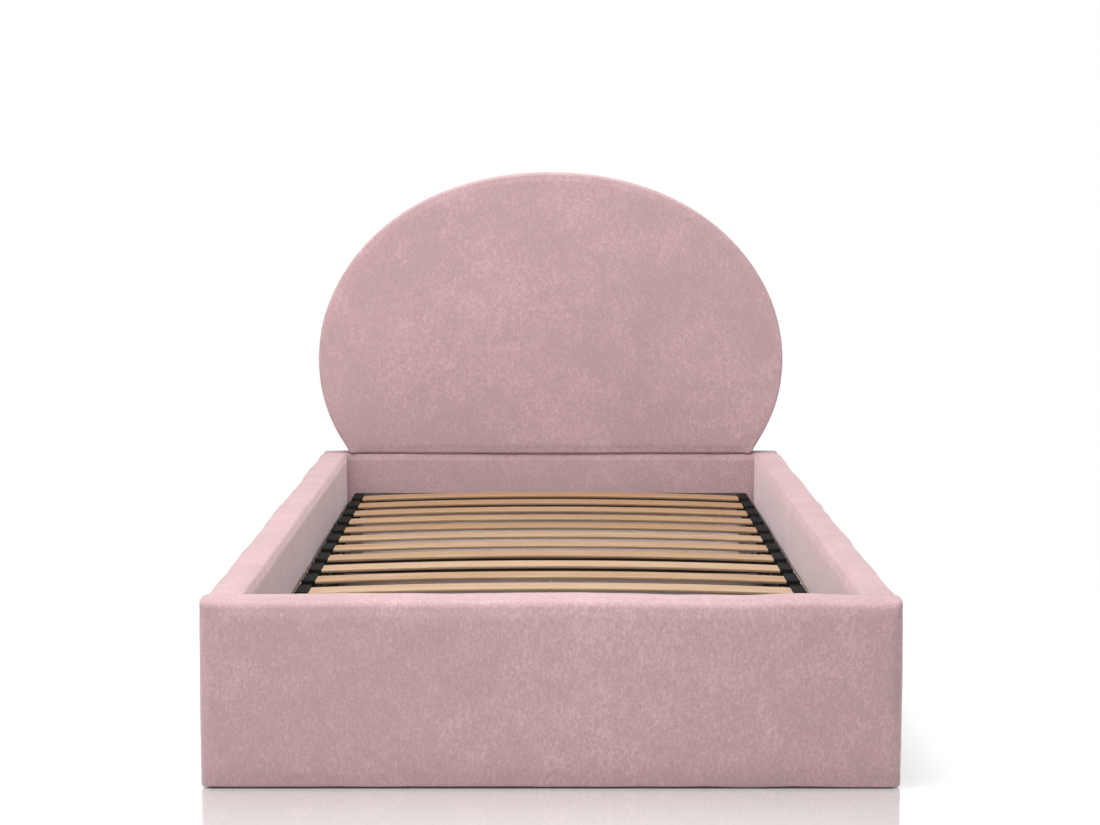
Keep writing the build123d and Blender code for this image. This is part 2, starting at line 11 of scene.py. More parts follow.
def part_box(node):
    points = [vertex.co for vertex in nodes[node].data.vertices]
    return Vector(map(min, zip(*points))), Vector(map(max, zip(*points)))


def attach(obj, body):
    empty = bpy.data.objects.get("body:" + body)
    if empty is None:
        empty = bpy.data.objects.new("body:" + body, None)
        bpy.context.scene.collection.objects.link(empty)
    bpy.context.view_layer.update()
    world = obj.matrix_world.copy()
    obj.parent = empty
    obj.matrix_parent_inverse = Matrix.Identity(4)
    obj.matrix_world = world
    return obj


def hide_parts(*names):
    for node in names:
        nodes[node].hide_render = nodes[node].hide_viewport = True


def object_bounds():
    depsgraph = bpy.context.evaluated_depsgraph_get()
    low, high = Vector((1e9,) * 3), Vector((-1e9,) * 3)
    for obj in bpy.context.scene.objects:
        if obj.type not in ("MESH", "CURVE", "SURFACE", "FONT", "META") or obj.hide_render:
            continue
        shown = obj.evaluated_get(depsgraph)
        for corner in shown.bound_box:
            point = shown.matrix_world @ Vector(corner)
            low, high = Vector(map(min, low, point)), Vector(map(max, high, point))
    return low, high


bl_info = {
    "name": "Velvet storage bed",
    "version": (1, 0, 0),
    "blender": (4, 5, 0),
    "location": "View3D > Sidebar > Bed",
    "description": "Upholstery, slats, fittings and stage of a storage bed with a round headboard",
    "category": "Add Mesh",
}

# Lengths are metres. X runs across the bed, +Y to the head, +Z up.
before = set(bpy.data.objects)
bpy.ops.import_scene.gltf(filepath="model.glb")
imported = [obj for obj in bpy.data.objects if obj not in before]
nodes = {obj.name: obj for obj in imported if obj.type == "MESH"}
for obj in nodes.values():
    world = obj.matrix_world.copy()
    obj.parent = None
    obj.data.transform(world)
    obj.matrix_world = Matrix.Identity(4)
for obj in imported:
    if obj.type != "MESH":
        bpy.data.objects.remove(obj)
cad_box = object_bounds()
SIDES = {"left": -1, "right": 1}
PANELS = ("foot", "head", "left", "right")

# Padding: where the velvet is free to swell and wave
COVER_REACH, COVER_FADE = 0.0045, 0.0015     # distance from the cover that counts as velvet
# Strips where it is held: the headboard's back, the hems, and the ends of the sides
BACK_FADE, HEM_FADE, END_FADE = 0.03, 0.025, 0.02
NOISE_STEP = (11.3, 7.1, 3.7)                # offset of the face noise from one piece to the next
SOFT_NOISE, FINE_NOISE = 4.2, 11.0           # bumps for each metre of a face
SOFT_PART, FINE_PART = 0.75, 0.35
CLOTH = {"quality": 2, "mass": 0.4, "tension_stiffness": 12.0, "compression_stiffness": 12.0,
         "shear_stiffness": 4.0, "bending_stiffness": 0.6, "use_pressure": True}

# Padding: rims and hems of the panels
END_ROUNDING = {"foot": 0.024, "head": 0.014, "left": 0.014, "right": 0.014}
FOOT_CRISPNESS = 3.4                         # the footboard's front edge is softer than its ends
RIM_BAND, HEM_BAND = 0.12, 0.05              # height over which the rim's and the hem's waves die out
WAVE_NOISE, RIPPLE_NOISE = 4.3, 11.0         # waves for each metre of an edge
RIPPLE_PART, HEAD_PART, HEM_PART = 0.5, 0.2, 0.5
RIM_LIFT = 0.0012
OUTER_START, OUTER_BLEND = 0.63, 0.04        # where a side's rim starts to lean out, from the bed's middle
LEAN_OUT, LEAN_WAVE, LEAN_RIPPLE = 3.9, 0.7, 0.6     # times the height of the edge waves
CROWN_BACK, CROWN_BLEND = 0.105, 0.050       # the footboard's top rises from its back to its front
CROWN_LOW, CROWN_RISE = 0.0006, 0.0078
HUMP_PLACE, HUMP_WIDTH, HUMP_RISE = 0.03, 0.15, 0.0026
SPLAY_TOP, SPLAY_FOOT = 0.0022, 0.0036

# Padding: the headboard
SAG_BACK, SAG_FRONT = 0.0012, 0.0028         # how far its lower edge sags
SAG_DEPTH, SAG_BLEND, SAG_BAND = 0.022, 0.010, 0.03
DOME_BACK, DOME_BLEND = 0.03, 0.02           # the strip at its back keeps its thickness
EDGE_OVERRUN = 1.2                           # largest share of an edge's width that the push counts

# Slats
ARC_POINTS, EDGE_POINTS = 57, 4              # along a slat's arc, and on each rounded edge of its section
TONE_LOW, TONE_HIGH, TONE_SEED = 0.15, 0.95, 7       # the tone of its own that each slat has
SHADE_START_Y, SHADE_END_Y = -0.9, 1.0             # painted shade for the weaker light at the head: between these Y the slats darken and warm, by the amounts below
SHADE_AT_FOOT, SHADE_AT_HEAD = 0.05, 0.90

# Slat holders and fasteners
WELD, SAME_PLACE = 0.00002, 1e-4             # corners that are one, and corners that lie in one plane
TONGUE_THICKNESS, TONGUE_LAP, TONGUE_EDGE = 0.002, 0.004, 0.0007
ABOVE_TONGUE = 0.001                         # corners this far above the tongue belong to the cap
RIB_WIDTH, RIB_INSET, RIB_RISE, RIB_EDGE = 0.0052, 0.0028, 0.0012, 0.0016
BOLT_PROFILE = (                             # (radius, height over the seat)
    (0.0, -0.012), (0.0038, -0.012), (0.0040, -0.0005), (0.0088, -0.0004), (0.0089, 0.0008),
    (0.0068, 0.0010), (0.0070, 0.0022), (0.0062, 0.0040), (0.0048, 0.0048), (0.0030, 0.0049),
    (0.0027, 0.0046), (0.0026, 0.0022), (0.0, 0.0020))
SOCKET_RADIUS = 0.0029
HEAD_SHARE = 0.9                             # corners past this share of the largest radius are a head's
BOLT_STEPS, SCREW_STEPS = 24, 20
SCREW_PROFILE = (
    (0.0, -0.006), (0.0022, -0.006), (0.0023, -0.0002), (0.0050, -0.0001), (0.0050, 0.0006),
    (0.0044, 0.0019), (0.0028, 0.0025), (0.0016, 0.0024), (0.0011, 0.0013), (0.0, 0.0010))

# Stage: each lamp's place, size, target and spread in degrees
BED_MIDDLE, HEAD_FOOT = (0.0, 0.0, 0.35), (0.0, 1.0, 0.15)
LAMPS = {
    "key": ((-3.4, -2.6, 3.6), 3.0, BED_MIDDLE, 180),
    "top": ((-0.38, -0.72, 5.4), 4.2, BED_MIDDLE, 180),
    "fill": ((1.9, -5.2, 2.6), 3.4, BED_MIDDLE, 180),
    "head": ((-0.3, -3.4, 2.6), 1.4, HEAD_FOOT, 30),
}
WHITE = (1.0, 1.0, 1.0)
FLOOR_HALF, FLOOR_PAINT, FLOOR_ROUGHNESS = 30.0, (0.80, 0.80, 0.80), 0.045
WHITE_NEAR, WHITE_LOSS = 0.72, -0.46         # plain white in the floor near the bed, and less of it beside
WHITE_START, WHITE_END = 1.2, 2.1            # distance from the bed's middle over which the floor turns white
MIRROR_REACH, MIRROR_NEAR, MIRROR_FAR = 0.42, 0.58, 0.40     # reflection in front of the footboard
UNDER_IN, UNDER_OUT = 0.012, 0.002           # strip along the bed's edge where the floor under it ends
BESIDE_IN, BESIDE_OUT = 0.02, 0.03           # the same for the floor past its long sides
MIRROR_BESIDE, MIRROR_UNDER = -0.4, -0.8     # loss of the reflection on these two
GRAZING_START, GRAZING_END, GRAZING_LEAST = 0.35, 0.72, 0.05     # it fades for a view from above
CAMERA_ACROSS, CAMERA_FRAME = -0.0017, 36.0  # the lens's X in metres, the sensor's width in millimetres


def length_setting(name, description, value):
    """A setting in metres."""
    return FloatProperty(name=name, description=description, default=value, unit="LENGTH", precision=4)


def number_setting(name, description, value):
    """A setting without a unit, from nothing upwards."""
    return FloatProperty(name=name, description=description, default=value, min=0.0)


def colour_setting(name, description, value):
    """A linear colour setting."""
    return FloatVectorProperty(name=name, description=description, default=value, size=3,
                               subtype="COLOR", min=0.0, max=1.0)


class VelvetSettings(bpy.types.PropertyGroup):
    """Colours and pattern of the velvet."""

    shade: colour_setting("Shade", "Pile that leans away from the light", (0.378, 0.256, 0.266))
    middle: colour_setting("Middle", "Pile at rest", (0.438, 0.290, 0.302))
    brushed: colour_setting("Brushed", "Pile brushed towards the light", (0.560, 0.378, 0.394))
    sheen_tint: colour_setting("Sheen tint", "Colour of the sheen on the pile's tips", (1.0, 0.87, 0.875))
    sheen: number_setting("Sheen", "Strength of the sheen", 0.52)
    sheen_roughness: number_setting("Sheen roughness", "How wide the sheen spreads", 0.38)
    gloss: number_setting("Gloss", "Specular level of the pile", 0.18)
    patch: length_setting("Patch", "Size of the large soft patches", 0.30)
    cloud: length_setting("Cloud", "Size of the brushed clouds", 0.085)
    fleck: length_setting("Fleck", "Size of the small bright flecks", 0.0120)
    thread: length_setting("Thread", "Pitch of the ground weave", 0.0032)
    pile_depth: length_setting("Pile depth", "Depth of the relief", 0.0011)


class PaddingSettings(bpy.types.PropertyGroup):
    """Simulation and shaping of the padded pieces."""

    cover: length_setting("Cover", "Thickness of the velvet and its glue over the foam", 0.0018)
    cell: length_setting("Cell", "Cell of the remeshed padding", 0.0055)
    swell_most: length_setting("Largest swell", "How far the cloth may swell out of the foam", 0.0022)
    taut_swell: length_setting("Taut swell", "The same at the head, where the velvet is taut", 0.0008)
    edge_wave: length_setting("Edge wave", "Height of the waves along the edges", 0.0030)
    crispness: number_setting("Crispness", "How square the edges of the panels are", 7.0)
    upper_radius: length_setting("Upper radius", "Height of the headboard above its widest line", 0.557)
    lower_radius: length_setting("Lower radius", "Depth of its full ellipse below that line", 0.530)
    head_crispness: number_setting("Head crispness", "How square the headboard's edge is", 9.0)
    front_edge: length_setting("Front edge", "Rounding of the headboard's front edge in the foam", 0.022)
    dome: length_setting("Dome", "Dome of the headboard's foam", 0.008)
    dome_cut: length_setting("Dome cut", "How much flatter the headboard is than its foam", 0.0045)
    fullness: number_setting("Fullness", "How full the shoulders of the headboard are", 2.06)
    face_wave: length_setting("Face wave", "Depth of the unevenness of the faces", 0.0016)
    pressure: number_setting("Pressure", "Pressure in the simulated padding", 4.0)
    frames: IntProperty(name="Frames", description="Steps of the simulation", default=8, min=1)


class SlatSettings(bpy.types.PropertyGroup):
    """Sprung slats."""

    edge_radius: length_setting("Edge radius", "Rounding of the long edges", 0.0026)
    pale: colour_setting("Pale", "Pale veneer", (0.398, 0.276, 0.171))
    # The warm veneer is also the colour the painted shade darkens the slats towards at the head.
    warm: colour_setting("Warm", "Warm veneer", (0.270, 0.154, 0.074))
    grain: colour_setting("Grain", "Dark grain lines", (0.19, 0.105, 0.052))


class FittingSettings(bpy.types.PropertyGroup):
    """Holders, steel and hardware."""

    holder_edge: length_setting("Holder edge", "Rounding of the slat holders", 0.0022)
    plastic: colour_setting("Plastic", "Black plastic", (0.0085, 0.0086, 0.0078))
    steel: colour_setting("Steel", "Black powder coat", (0.010, 0.010, 0.011))
    zinc: colour_setting("Zinc", "Zinc plating", (0.62, 0.62, 0.60))
    chrome: colour_setting("Chrome", "Chromed strut rods", (0.72, 0.72, 0.74))


class BoardSettings(bpy.types.PropertyGroup):
    """Boards and battens."""

    pale_board: colour_setting("Pale board", "Bare inner boards", (0.80, 0.69, 0.67))
    timber: colour_setting("Timber", "Sawn battens", (0.60, 0.50, 0.42))
    dark_board: colour_setting("Dark board", "Hardboard bottom", (0.160, 0.126, 0.130))
    lining: colour_setting("Lining", "Non-woven lining on the back", (0.028, 0.028, 0.030))


class StageSettings(bpy.types.PropertyGroup):
    """Camera, floor and lamps."""

    camera_distance: length_setting("Camera distance", "From the front of the bed to the lens", 3.742)
    camera_height: length_setting("Camera height", "Height of the lens", 1.184)
    camera_tilt: FloatProperty(name="Camera tilt", description="Tilt below the horizon",
                               default=math.radians(6.82), subtype="ANGLE")
    lens: number_setting("Lens", "Focal length in millimetres on a 36 mm frame", 65.15)
    key_power: number_setting("Key", "Power of the large lamp at the left", 84.0)
    top_power: number_setting("Top", "Power of the lamp overhead", 412.0)
    fill_power: number_setting("Fill", "Power of the lamp behind the camera", 11.0)
    head_power: number_setting("Head", "Power of the narrow lamp on the headboard", 2.1)
    sky: number_setting("Sky", "Light from all round", 0.425)


# Shader helpers

def fill(tree, node, inputs):
    """Sets or links a node's inputs, given by name or number, and returns the node."""
    for name, value in inputs.items():
        socket = node.inputs[name]
        if isinstance(value, bpy.types.NodeSocket):
            tree.links.new(value, socket)
        elif socket.type == "RGBA":
            socket.default_value = (*value[:3], 1.0)
        else:
            socket.default_value = value
    return node


def add_node(tree, kind, inputs=None, **attributes):
    """A node with its attributes set and its inputs filled."""
    node = tree.nodes.new(kind)
    for name, value in attributes.items():
        setattr(node, name, value)
    return fill(tree, node, inputs or {})


def math_node(tree, operation, *values, clamp=False):
    """The output of a math node."""
    return add_node(tree, "ShaderNodeMath", dict(enumerate(values)), operation=operation,
                    use_clamp=clamp).outputs[0]


def scaled(tree, vector, factors):
    """A vector times a factor for each axis."""
    return add_node(tree, "ShaderNodeVectorMath", {0: vector, 1: factors}, operation="MULTIPLY").outputs[0]


def noise_value(tree, vector, scale=1.0, detail=2.0, roughness=0.5, distortion=0.0):
    """The value of a noise texture."""
    return add_node(tree, "ShaderNodeTexNoise", {"Vector": vector, "Scale": scale, "Detail": detail,
                    "Roughness": roughness, "Distortion": distortion}).outputs["Fac"]


def ramp(tree, value, start, end, low_value=0.0, high_value=1.0):
    """A value mapped smoothly from one range to another."""
    inputs = {0: value, 1: start, 2: end, 3: low_value, 4: high_value}
    return add_node(tree, "ShaderNodeMapRange", inputs, interpolation_type="SMOOTHSTEP").outputs[0]


def mixed(tree, factor, first, second):
    """Two colours mixed by a factor."""
    return add_node(tree, "ShaderNodeMix", {0: factor, 6: first, 7: second}, data_type="RGBA").outputs[2]


def node_group(name, kind, inputs, outputs):
    """An empty node tree with sockets of the given kinds, and its input and output nodes' sockets."""
    group = bpy.data.node_groups.new(name, kind)
    for direction, sockets in (("INPUT", inputs), ("OUTPUT", outputs)):
        for label, socket_kind in sockets.items():
            group.interface.new_socket(label, in_out=direction, socket_type="NodeSocket" + socket_kind)
    return group, group.nodes.new("NodeGroupInput").outputs, group.nodes.new("NodeGroupOutput").inputs


def placed_group(tree, group, inputs):
    """The outputs of a node group set in a material, with its inputs filled."""
    return add_node(tree, "ShaderNodeGroup", inputs, node_tree=group).outputs


def material(name):
    """The tree, Principled node and object coordinates of a new material."""
    made = bpy.data.materials.new(name)
    made.use_nodes = True
    coordinates = made.node_tree.nodes.new("ShaderNodeTexCoord").outputs["Object"]
    return made.node_tree, made.node_tree.nodes["Principled BSDF"], coordinates


def relief(tree, height, distance, strength):
    """The normal of a bump from a height."""
    return add_node(tree, "ShaderNodeBump", {"Height": height, "Distance": distance,
                                             "Strength": strength}).outputs["Normal"]


def times(colour, factor):
    """A colour made lighter or darker."""
    return [factor * part for part in colour]


# Shader groups. Their bare numbers are the detail, roughness and distortion of a noise, the range of
# a ramp, and the shares in which layers are mixed.

def weave_group():
    """Threads that cross: fine noise drawn out upright and level."""
    group, given, made = node_group("woven_ground", "ShaderNodeTree",
                                    {"Vector": "Vector", "Pitch": "Float"}, {"Threads": "Float"})
    per_metre = math_node(group, "DIVIDE", 1.0, given["Pitch"])
    upright = noise_value(group, scaled(group, given["Vector"], (1.0, 1.0, 0.22)), per_metre, 1.0)
    level = noise_value(group, scaled(group, given["Vector"], (0.3, 0.3, 1.0)), per_metre, 1.0)
    total = math_node(group, "MULTIPLY_ADD", level, 0.35, math_node(group, "MULTIPLY", upright, 0.65))
    group.links.new(total, made["Threads"])
    return group


def velvet_group(weave):
    """Velvet pile: large patches, brushed clouds, small bright flecks in the clouds, and the ground weave."""
    group, given, made = node_group(
        "velvet_pile", "ShaderNodeTree",
        {"Vector": "Vector", "Shade": "Color", "Middle": "Color", "Brushed": "Color",
         "Patch": "Float", "Cloud": "Float", "Fleck": "Float", "Thread": "Float"},
        {"Color": "Color", "Height": "Float", "Lean": "Float"})
    vector = given["Vector"]

    def per(size):
        return math_node(group, "DIVIDE", 1.0, given[size])

    patch = noise_value(group, vector, per("Patch"), 1.5, 0.5, 0.4)
    cloud = noise_value(group, vector, per("Cloud"), 3.0, 0.6, 0.8)
    upright = scaled(group, vector, (1.0, 1.0, 0.62))
    fleck = noise_value(group, upright, per("Fleck"), 2.5, 0.6, 1.6)
    speck = noise_value(group, upright, math_node(group, "MULTIPLY", per("Fleck"), 2.7), 2.0, 0.6, 0.8)
    threads = placed_group(group, weave, {"Vector": vector, "Pitch": given["Thread"]})["Threads"]

    where = ramp(group, math_node(group, "ADD", math_node(group, "MULTIPLY", cloud, 0.6),
                                  math_node(group, "MULTIPLY", patch, 0.4)), 0.40, 0.62)
    bright = ramp(group, fleck, 0.46, 0.68)
    bright = math_node(group, "MULTIPLY", bright, math_node(group, "MULTIPLY_ADD", where, 0.75, 0.25))
    lean = math_node(group, "MULTIPLY_ADD", patch, 0.5, -0.25)
    lean = math_node(group, "MULTIPLY_ADD", cloud, 0.5, math_node(group, "ADD", lean, -0.25))
    lean = math_node(group, "MULTIPLY_ADD", math_node(group, "SUBTRACT", speck, 0.5), 1.6, lean)
    lean = math_node(group, "MULTIPLY_ADD", math_node(group, "SUBTRACT", threads, 0.5), 0.9, lean)
    base = mixed(group, ramp(group, lean, -0.45, 0.35), given["Shade"], given["Middle"])
    middle = mixed(group, ramp(group, lean, -0.05, 0.9), base, given["Brushed"])
    colour = mixed(group, math_node(group, "MULTIPLY", bright, 0.58), middle, given["Brushed"])
    group.links.new(colour, made["Color"])
    height = math_node(group, "MULTIPLY_ADD", fleck, 0.6, math_node(group, "MULTIPLY", threads, 0.35))
    height = math_node(group, "MULTIPLY_ADD", speck, 0.35, height)
    group.links.new(height, made["Height"])
    group.links.new(math_node(group, "ADD", lean, 0.5, clamp=True), made["Lean"])
    return group


def grain_group():
    """Wood grain that runs along X: drawn-out figure, dark lines and fine pores."""
    group, given, made = node_group(
        "wood_grain", "ShaderNodeTree",
        {"Vector": "Vector", "Pale": "Color", "Warm": "Color", "Line": "Color", "Figure": "Float",
         "Tone": "Float"}, {"Color": "Color", "Height": "Float"})
    per_metre = math_node(group, "DIVIDE", 1.0, given["Figure"])

    def drawn_out(along, finer, detail, roughness, distortion=0.0):
        scale = math_node(group, "MULTIPLY", per_metre, finer)
        return noise_value(group, scaled(group, given["Vector"], (along, 1.0, 1.0)), scale, detail, roughness,
                           distortion)

    figure = drawn_out(0.07, 1.0, 3.0, 0.55, 1.2)
    lines = drawn_out(0.03, 6.0, 2.0, 0.6, 0.3)
    pores = drawn_out(0.06, 26.0, 2.0, 0.7)
    tone = math_node(group, "MULTIPLY_ADD", figure, 1.1, math_node(group, "SUBTRACT", given["Tone"], 1.05))
    base = mixed(group, ramp(group, tone, -0.4, 0.6), given["Pale"], given["Warm"])
    for layer, start, end, strength in ((lines, 0.52, 0.72, 0.34), (pores, 0.58, 0.75, 0.20)):
        dark = math_node(group, "MULTIPLY", ramp(group, layer, start, end), strength)
        base = mixed(group, dark, base, given["Line"])
    group.links.new(base, made["Color"])
    group.links.new(math_node(group, "MULTIPLY_ADD", lines, 0.5, math_node(group, "MULTIPLY", pores, 0.5)),
                    made["Height"])


def coat_group():
    """Powder coat or moulded skin: an orange peel, with faint dust and rub marks."""
    group, given, made = node_group(
        "coat_skin", "ShaderNodeTree",
        {"Vector": "Vector", "Base": "Color", "Peel": "Float", "Roughness": "Float", "Dust": "Float"},
        {"Color": "Color", "Roughness": "Float", "Height": "Float"})
    per_metre = math_node(group, "DIVIDE", 1.0, given["Peel"])
    peel = noise_value(group, given["Vector"], per_metre, 2.0, 0.55)
    cloud = noise_value(group, given["Vector"], 19.0, 4.0, 0.6, 0.5)
    dust = math_node(group, "MULTIPLY", ramp(group, cloud, 0.42, 0.72), given["Dust"])
    smoothest = math_node(group, "SUBTRACT", given["Roughness"], 0.11)
    rough = math_node(group, "MULTIPLY_ADD", cloud, 0.22, smoothest)
    group.links.new(mixed(group, dust, given["Base"], (0.30, 0.28, 0.27)), made["Color"])
    group.links.new(rough, made["Roughness"])
    group.links.new(peel, made["Height"])


# Materials

def velvet_material(settings):
    """Old rose velvet."""
    tree, principled, vector = material("rose_velvet")
    pile = placed_group(tree, bpy.data.node_groups["velvet_pile"], {
        "Vector": vector, "Shade": settings.shade, "Middle": settings.middle, "Brushed": settings.brushed,
        "Patch": settings.patch, "Cloud": settings.cloud, "Fleck": settings.fleck, "Thread": settings.thread})
    fill(tree, principled, {
        "Base Color": pile["Color"], "Roughness": ramp(tree, pile["Lean"], 0.0, 1.0, 0.92, 0.74),
        "Specular IOR Level": settings.gloss, "Sheen Weight": settings.sheen,
        "Sheen Roughness": settings.sheen_roughness, "Sheen Tint": settings.sheen_tint,
        "Normal": relief(tree, pile["Height"], settings.pile_depth, 0.55)})


def wood_material(name, pale, warm, line, figure, along, tone=0.5, roughness=0.55, tone_attribute=None):
    """Wood with its grain turned to run along X or Y."""
    tree, principled, vector = material(name)
    turn = (0.0, 0.0, math.pi / 2 if along == "Y" else 0.0)
    turned = add_node(tree, "ShaderNodeMapping", {"Vector": vector, "Rotation": turn}).outputs[0]
    if tone_attribute:
        attribute = add_node(tree, "ShaderNodeAttribute", attribute_name=tone_attribute).outputs["Fac"]
        along_bed = add_node(tree, "ShaderNodeSeparateXYZ", {0: vector}).outputs["Y"]
        # painted shade: the slats darken towards the head, added to each slat's random tone
        painted_shade_to_head = ramp(tree, along_bed, SHADE_START_Y, SHADE_END_Y, SHADE_AT_FOOT, SHADE_AT_HEAD)
        tone = math_node(tree, "MULTIPLY_ADD", attribute, 0.5, painted_shade_to_head)
    grain = placed_group(tree, bpy.data.node_groups["wood_grain"], {
        "Vector": turned, "Pale": pale, "Warm": warm, "Line": line, "Figure": figure, "Tone": tone})
    fill(tree, principled, {
        "Base Color": grain["Color"],
        "Roughness": ramp(tree, grain["Height"], 0.3, 0.7, roughness + 0.07, roughness - 0.07),
        "Normal": relief(tree, grain["Height"], 0.00035, 0.5)})


def coated_material(name, colour, peel, roughness, dust, metallic=0.0, depth=0.00012, specular=0.5):
    """Powder-coated steel, plated steel or moulded plastic."""
    tree, principled, vector = material(name)
    skin = placed_group(tree, bpy.data.node_groups["coat_skin"], {
        "Vector": vector, "Base": colour, "Peel": peel, "Roughness": roughness, "Dust": dust})
    fill(tree, principled, {
        "Base Color": skin["Color"], "Roughness": skin["Roughness"], "Metallic": metallic,
        "Specular IOR Level": specular, "Normal": relief(tree, skin["Height"], depth, 0.6)})


def lining_material(colour):
    """Non-woven lining: pressed fibres and a grid of small weld points."""
    tree, principled, vector = material("lining_felt")
    fibres = noise_value(tree, vector, 900.0, 4.0, 0.7, 2.0)
    cloth = noise_value(tree, vector, 60.0, 3.0, 0.6)
    weld = add_node(tree, "ShaderNodeTexVoronoi", {"Vector": vector, "Scale": 420.0}).outputs["Distance"]
    height = math_node(tree, "MULTIPLY_ADD", ramp(tree, weld, 0.1, 0.45), 0.8, fibres)
    fill(tree, principled, {
        "Base Color": mixed(tree, ramp(tree, fibres, 0.35, 0.7), colour, times(colour, 2.2)),
        "Roughness": ramp(tree, cloth, 0.3, 0.7, 0.8, 0.95), "Normal": relief(tree, height, 0.0003, 0.7)})


def make_materials(scene):
    """Every finish of the bed, by name."""
    velvet_group(weave_group())
    grain_group()
    coat_group()
    slats, fittings, boards = scene.bed_slats, scene.bed_fittings, scene.bed_boards
    velvet_material(scene.bed_velvet)
    lining_material(boards.lining)
    wood_material("bent_birch", slats.pale, slats.warm, slats.grain, figure=0.022, along="X",
                  tone_attribute="slat_tone")
    pale, timber, dark = boards.pale_board, boards.timber, boards.dark_board
    for along in ("X", "Y"):
        wood_material(f"bare_board_{along.lower()}", pale, times(pale, 0.9), times(pale, 0.72),
                      figure=0.012, along=along, tone=0.4, roughness=0.7)
        wood_material(f"sawn_timber_{along.lower()}", timber, times(timber, 0.78), times(timber, 0.5),
                      figure=0.02, along=along, roughness=0.7)
    wood_material("hardboard", dark, times(dark, 1.3), times(dark, 0.7), figure=0.008, along="Y",
                  roughness=0.6)
    for name, colour, peel, roughness, dust, other in (
            ("moulded_plastic", fittings.plastic, 0.0009, 0.70, 0.02, {"specular": 0.06}),
            ("coated_steel", fittings.steel, 0.0011, 0.50, 0.03, {"specular": 0.3}),
            ("zinc_plate", fittings.zinc, 0.004, 0.36, 0.05, {"metallic": 1.0, "depth": 0.00005}),
            ("gloss_black", fittings.steel, 0.003, 0.22, 0.03, {}),
            ("rod_chrome", fittings.chrome, 0.004, 0.14, 0.0, {"metallic": 1.0, "depth": 0.00001})):
        coated_material(name, colour, peel, roughness, dust, **other)


def finish(piece, name):
    """One material over a whole piece."""
    piece.data.materials.clear()
    piece.data.materials.append(bpy.data.materials[name])


# Mesh helpers

def link(name, data):
    """A new object in the scene."""
    piece = bpy.data.objects.new(name, data)
    bpy.context.scene.collection.objects.link(piece)
    return piece


def vertex_data(mesh, name):
    """The vertices' "co" or "normal", as an (n, 3) array."""
    flat = np.zeros(len(mesh.vertices) * 3, np.float32)
    mesh.vertices.foreach_get(name, flat)
    return flat.reshape(-1, 3).astype(float)


def move_vertices(mesh, points):
    """Puts the vertices at the points of an (n, 3) array."""
    mesh.vertices.foreach_set("co", points.astype(np.float32).ravel())
    mesh.update()


def merged_copy(node):
    """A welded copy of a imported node's mesh."""
    mesh = nodes[node].data.copy()
    shape = bmesh.new()
    shape.from_mesh(mesh)
    bmesh.ops.remove_doubles(shape, verts=shape.verts, dist=WELD)
    shape.to_mesh(mesh)
    shape.free()
    return mesh


def solids_of(node):
    """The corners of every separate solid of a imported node, as (n, 3) arrays."""
    mesh = merged_copy(node)
    parent = list(range(len(mesh.vertices)))

    def root(index):
        while parent[index] != index:
            parent[index] = parent[parent[index]]
            index = parent[index]
        return index

    for edge in mesh.edges:
        first, second = root(edge.vertices[0]), root(edge.vertices[1])
        parent[first] = second
    groups = {}
    for vertex in mesh.vertices:
        groups.setdefault(root(vertex.index), []).append(tuple(vertex.co))
    bpy.data.meshes.remove(mesh)
    return [np.array(points) for points in groups.values()]


def plain_mesh(piece, name):
    """The evaluated shape of an object as a plain mesh object; the object itself is removed."""
    graph = bpy.context.evaluated_depsgraph_get()
    mesh = bpy.data.meshes.new_from_object(piece.evaluated_get(graph))
    old = piece.data
    bpy.data.objects.remove(piece)
    if old.users == 0:
        bpy.data.meshes.remove(old)
    mesh.name = name
    return link(name, mesh)


def rounded_block(size, place, radius, segments):
    """A box with rounded edges round a place, as a bmesh."""
    shape = bmesh.new()
    bmesh.ops.create_cube(shape, size=1.0)
    bmesh.ops.scale(shape, vec=size, verts=shape.verts)
    bmesh.ops.bevel(shape, geom=shape.edges[:], offset=radius, segments=segments, affect="EDGES", profile=0.5)
    bmesh.ops.translate(shape, vec=place, verts=shape.verts)
    return shape


def join(shape, other):
    """Adds a bmesh to another one and frees it."""
    mesh = bpy.data.meshes.new("part")
    other.to_mesh(mesh)
    other.free()
    shape.from_mesh(mesh)
    bpy.data.meshes.remove(mesh)


def turned_shape(profile, steps):
    """A closed solid of revolution about Z from (radius, height) points, first and last on the axis."""
    shape = bmesh.new()
    angles = [2 * math.pi * step / steps for step in range(steps)]
    rings = []
    for radius, height in profile:
        if radius == 0.0:
            rings.append([shape.verts.new((0.0, 0.0, height))])
        else:
            rings.append([shape.verts.new((radius * math.cos(angle), radius * math.sin(angle), height))
                          for angle in angles])
    for lower, upper in zip(rings, rings[1:]):
        for step in range(steps):
            after = (step + 1) % steps
            corners = [lower[step % len(lower)], lower[after % len(lower)],
                       upper[after % len(upper)], upper[step % len(upper)]]
            shape.faces.new(list(dict.fromkeys(corners)))
    bmesh.ops.recalc_face_normals(shape, faces=shape.faces)
    return shape


def smooth(mesh, degrees=40.0):
    """Smooth shading with sharp edges past an angle."""
    mesh.shade_smooth()
    mesh.set_sharp_from_angle(angle=math.radians(degrees))


# Geometry node trees

def geometry_tree(name, inputs):
    """A geometry node tree with named inputs after its geometry, and its input and output sockets."""
    return node_group(name, "GeometryNodeTree", {"Geometry": "Geometry", **inputs}, {"Geometry": "Geometry"})


def ended(tree, geometry, material_socket, out):
    """Realize Instances and Set Material at the end of a tree."""
    real = add_node(tree, "GeometryNodeRealizeInstances", {0: geometry}).outputs[0]
    dressed = add_node(tree, "GeometryNodeSetMaterial", {"Geometry": real, "Material": material_socket})
    tree.links.new(dressed.outputs[0], out["Geometry"])


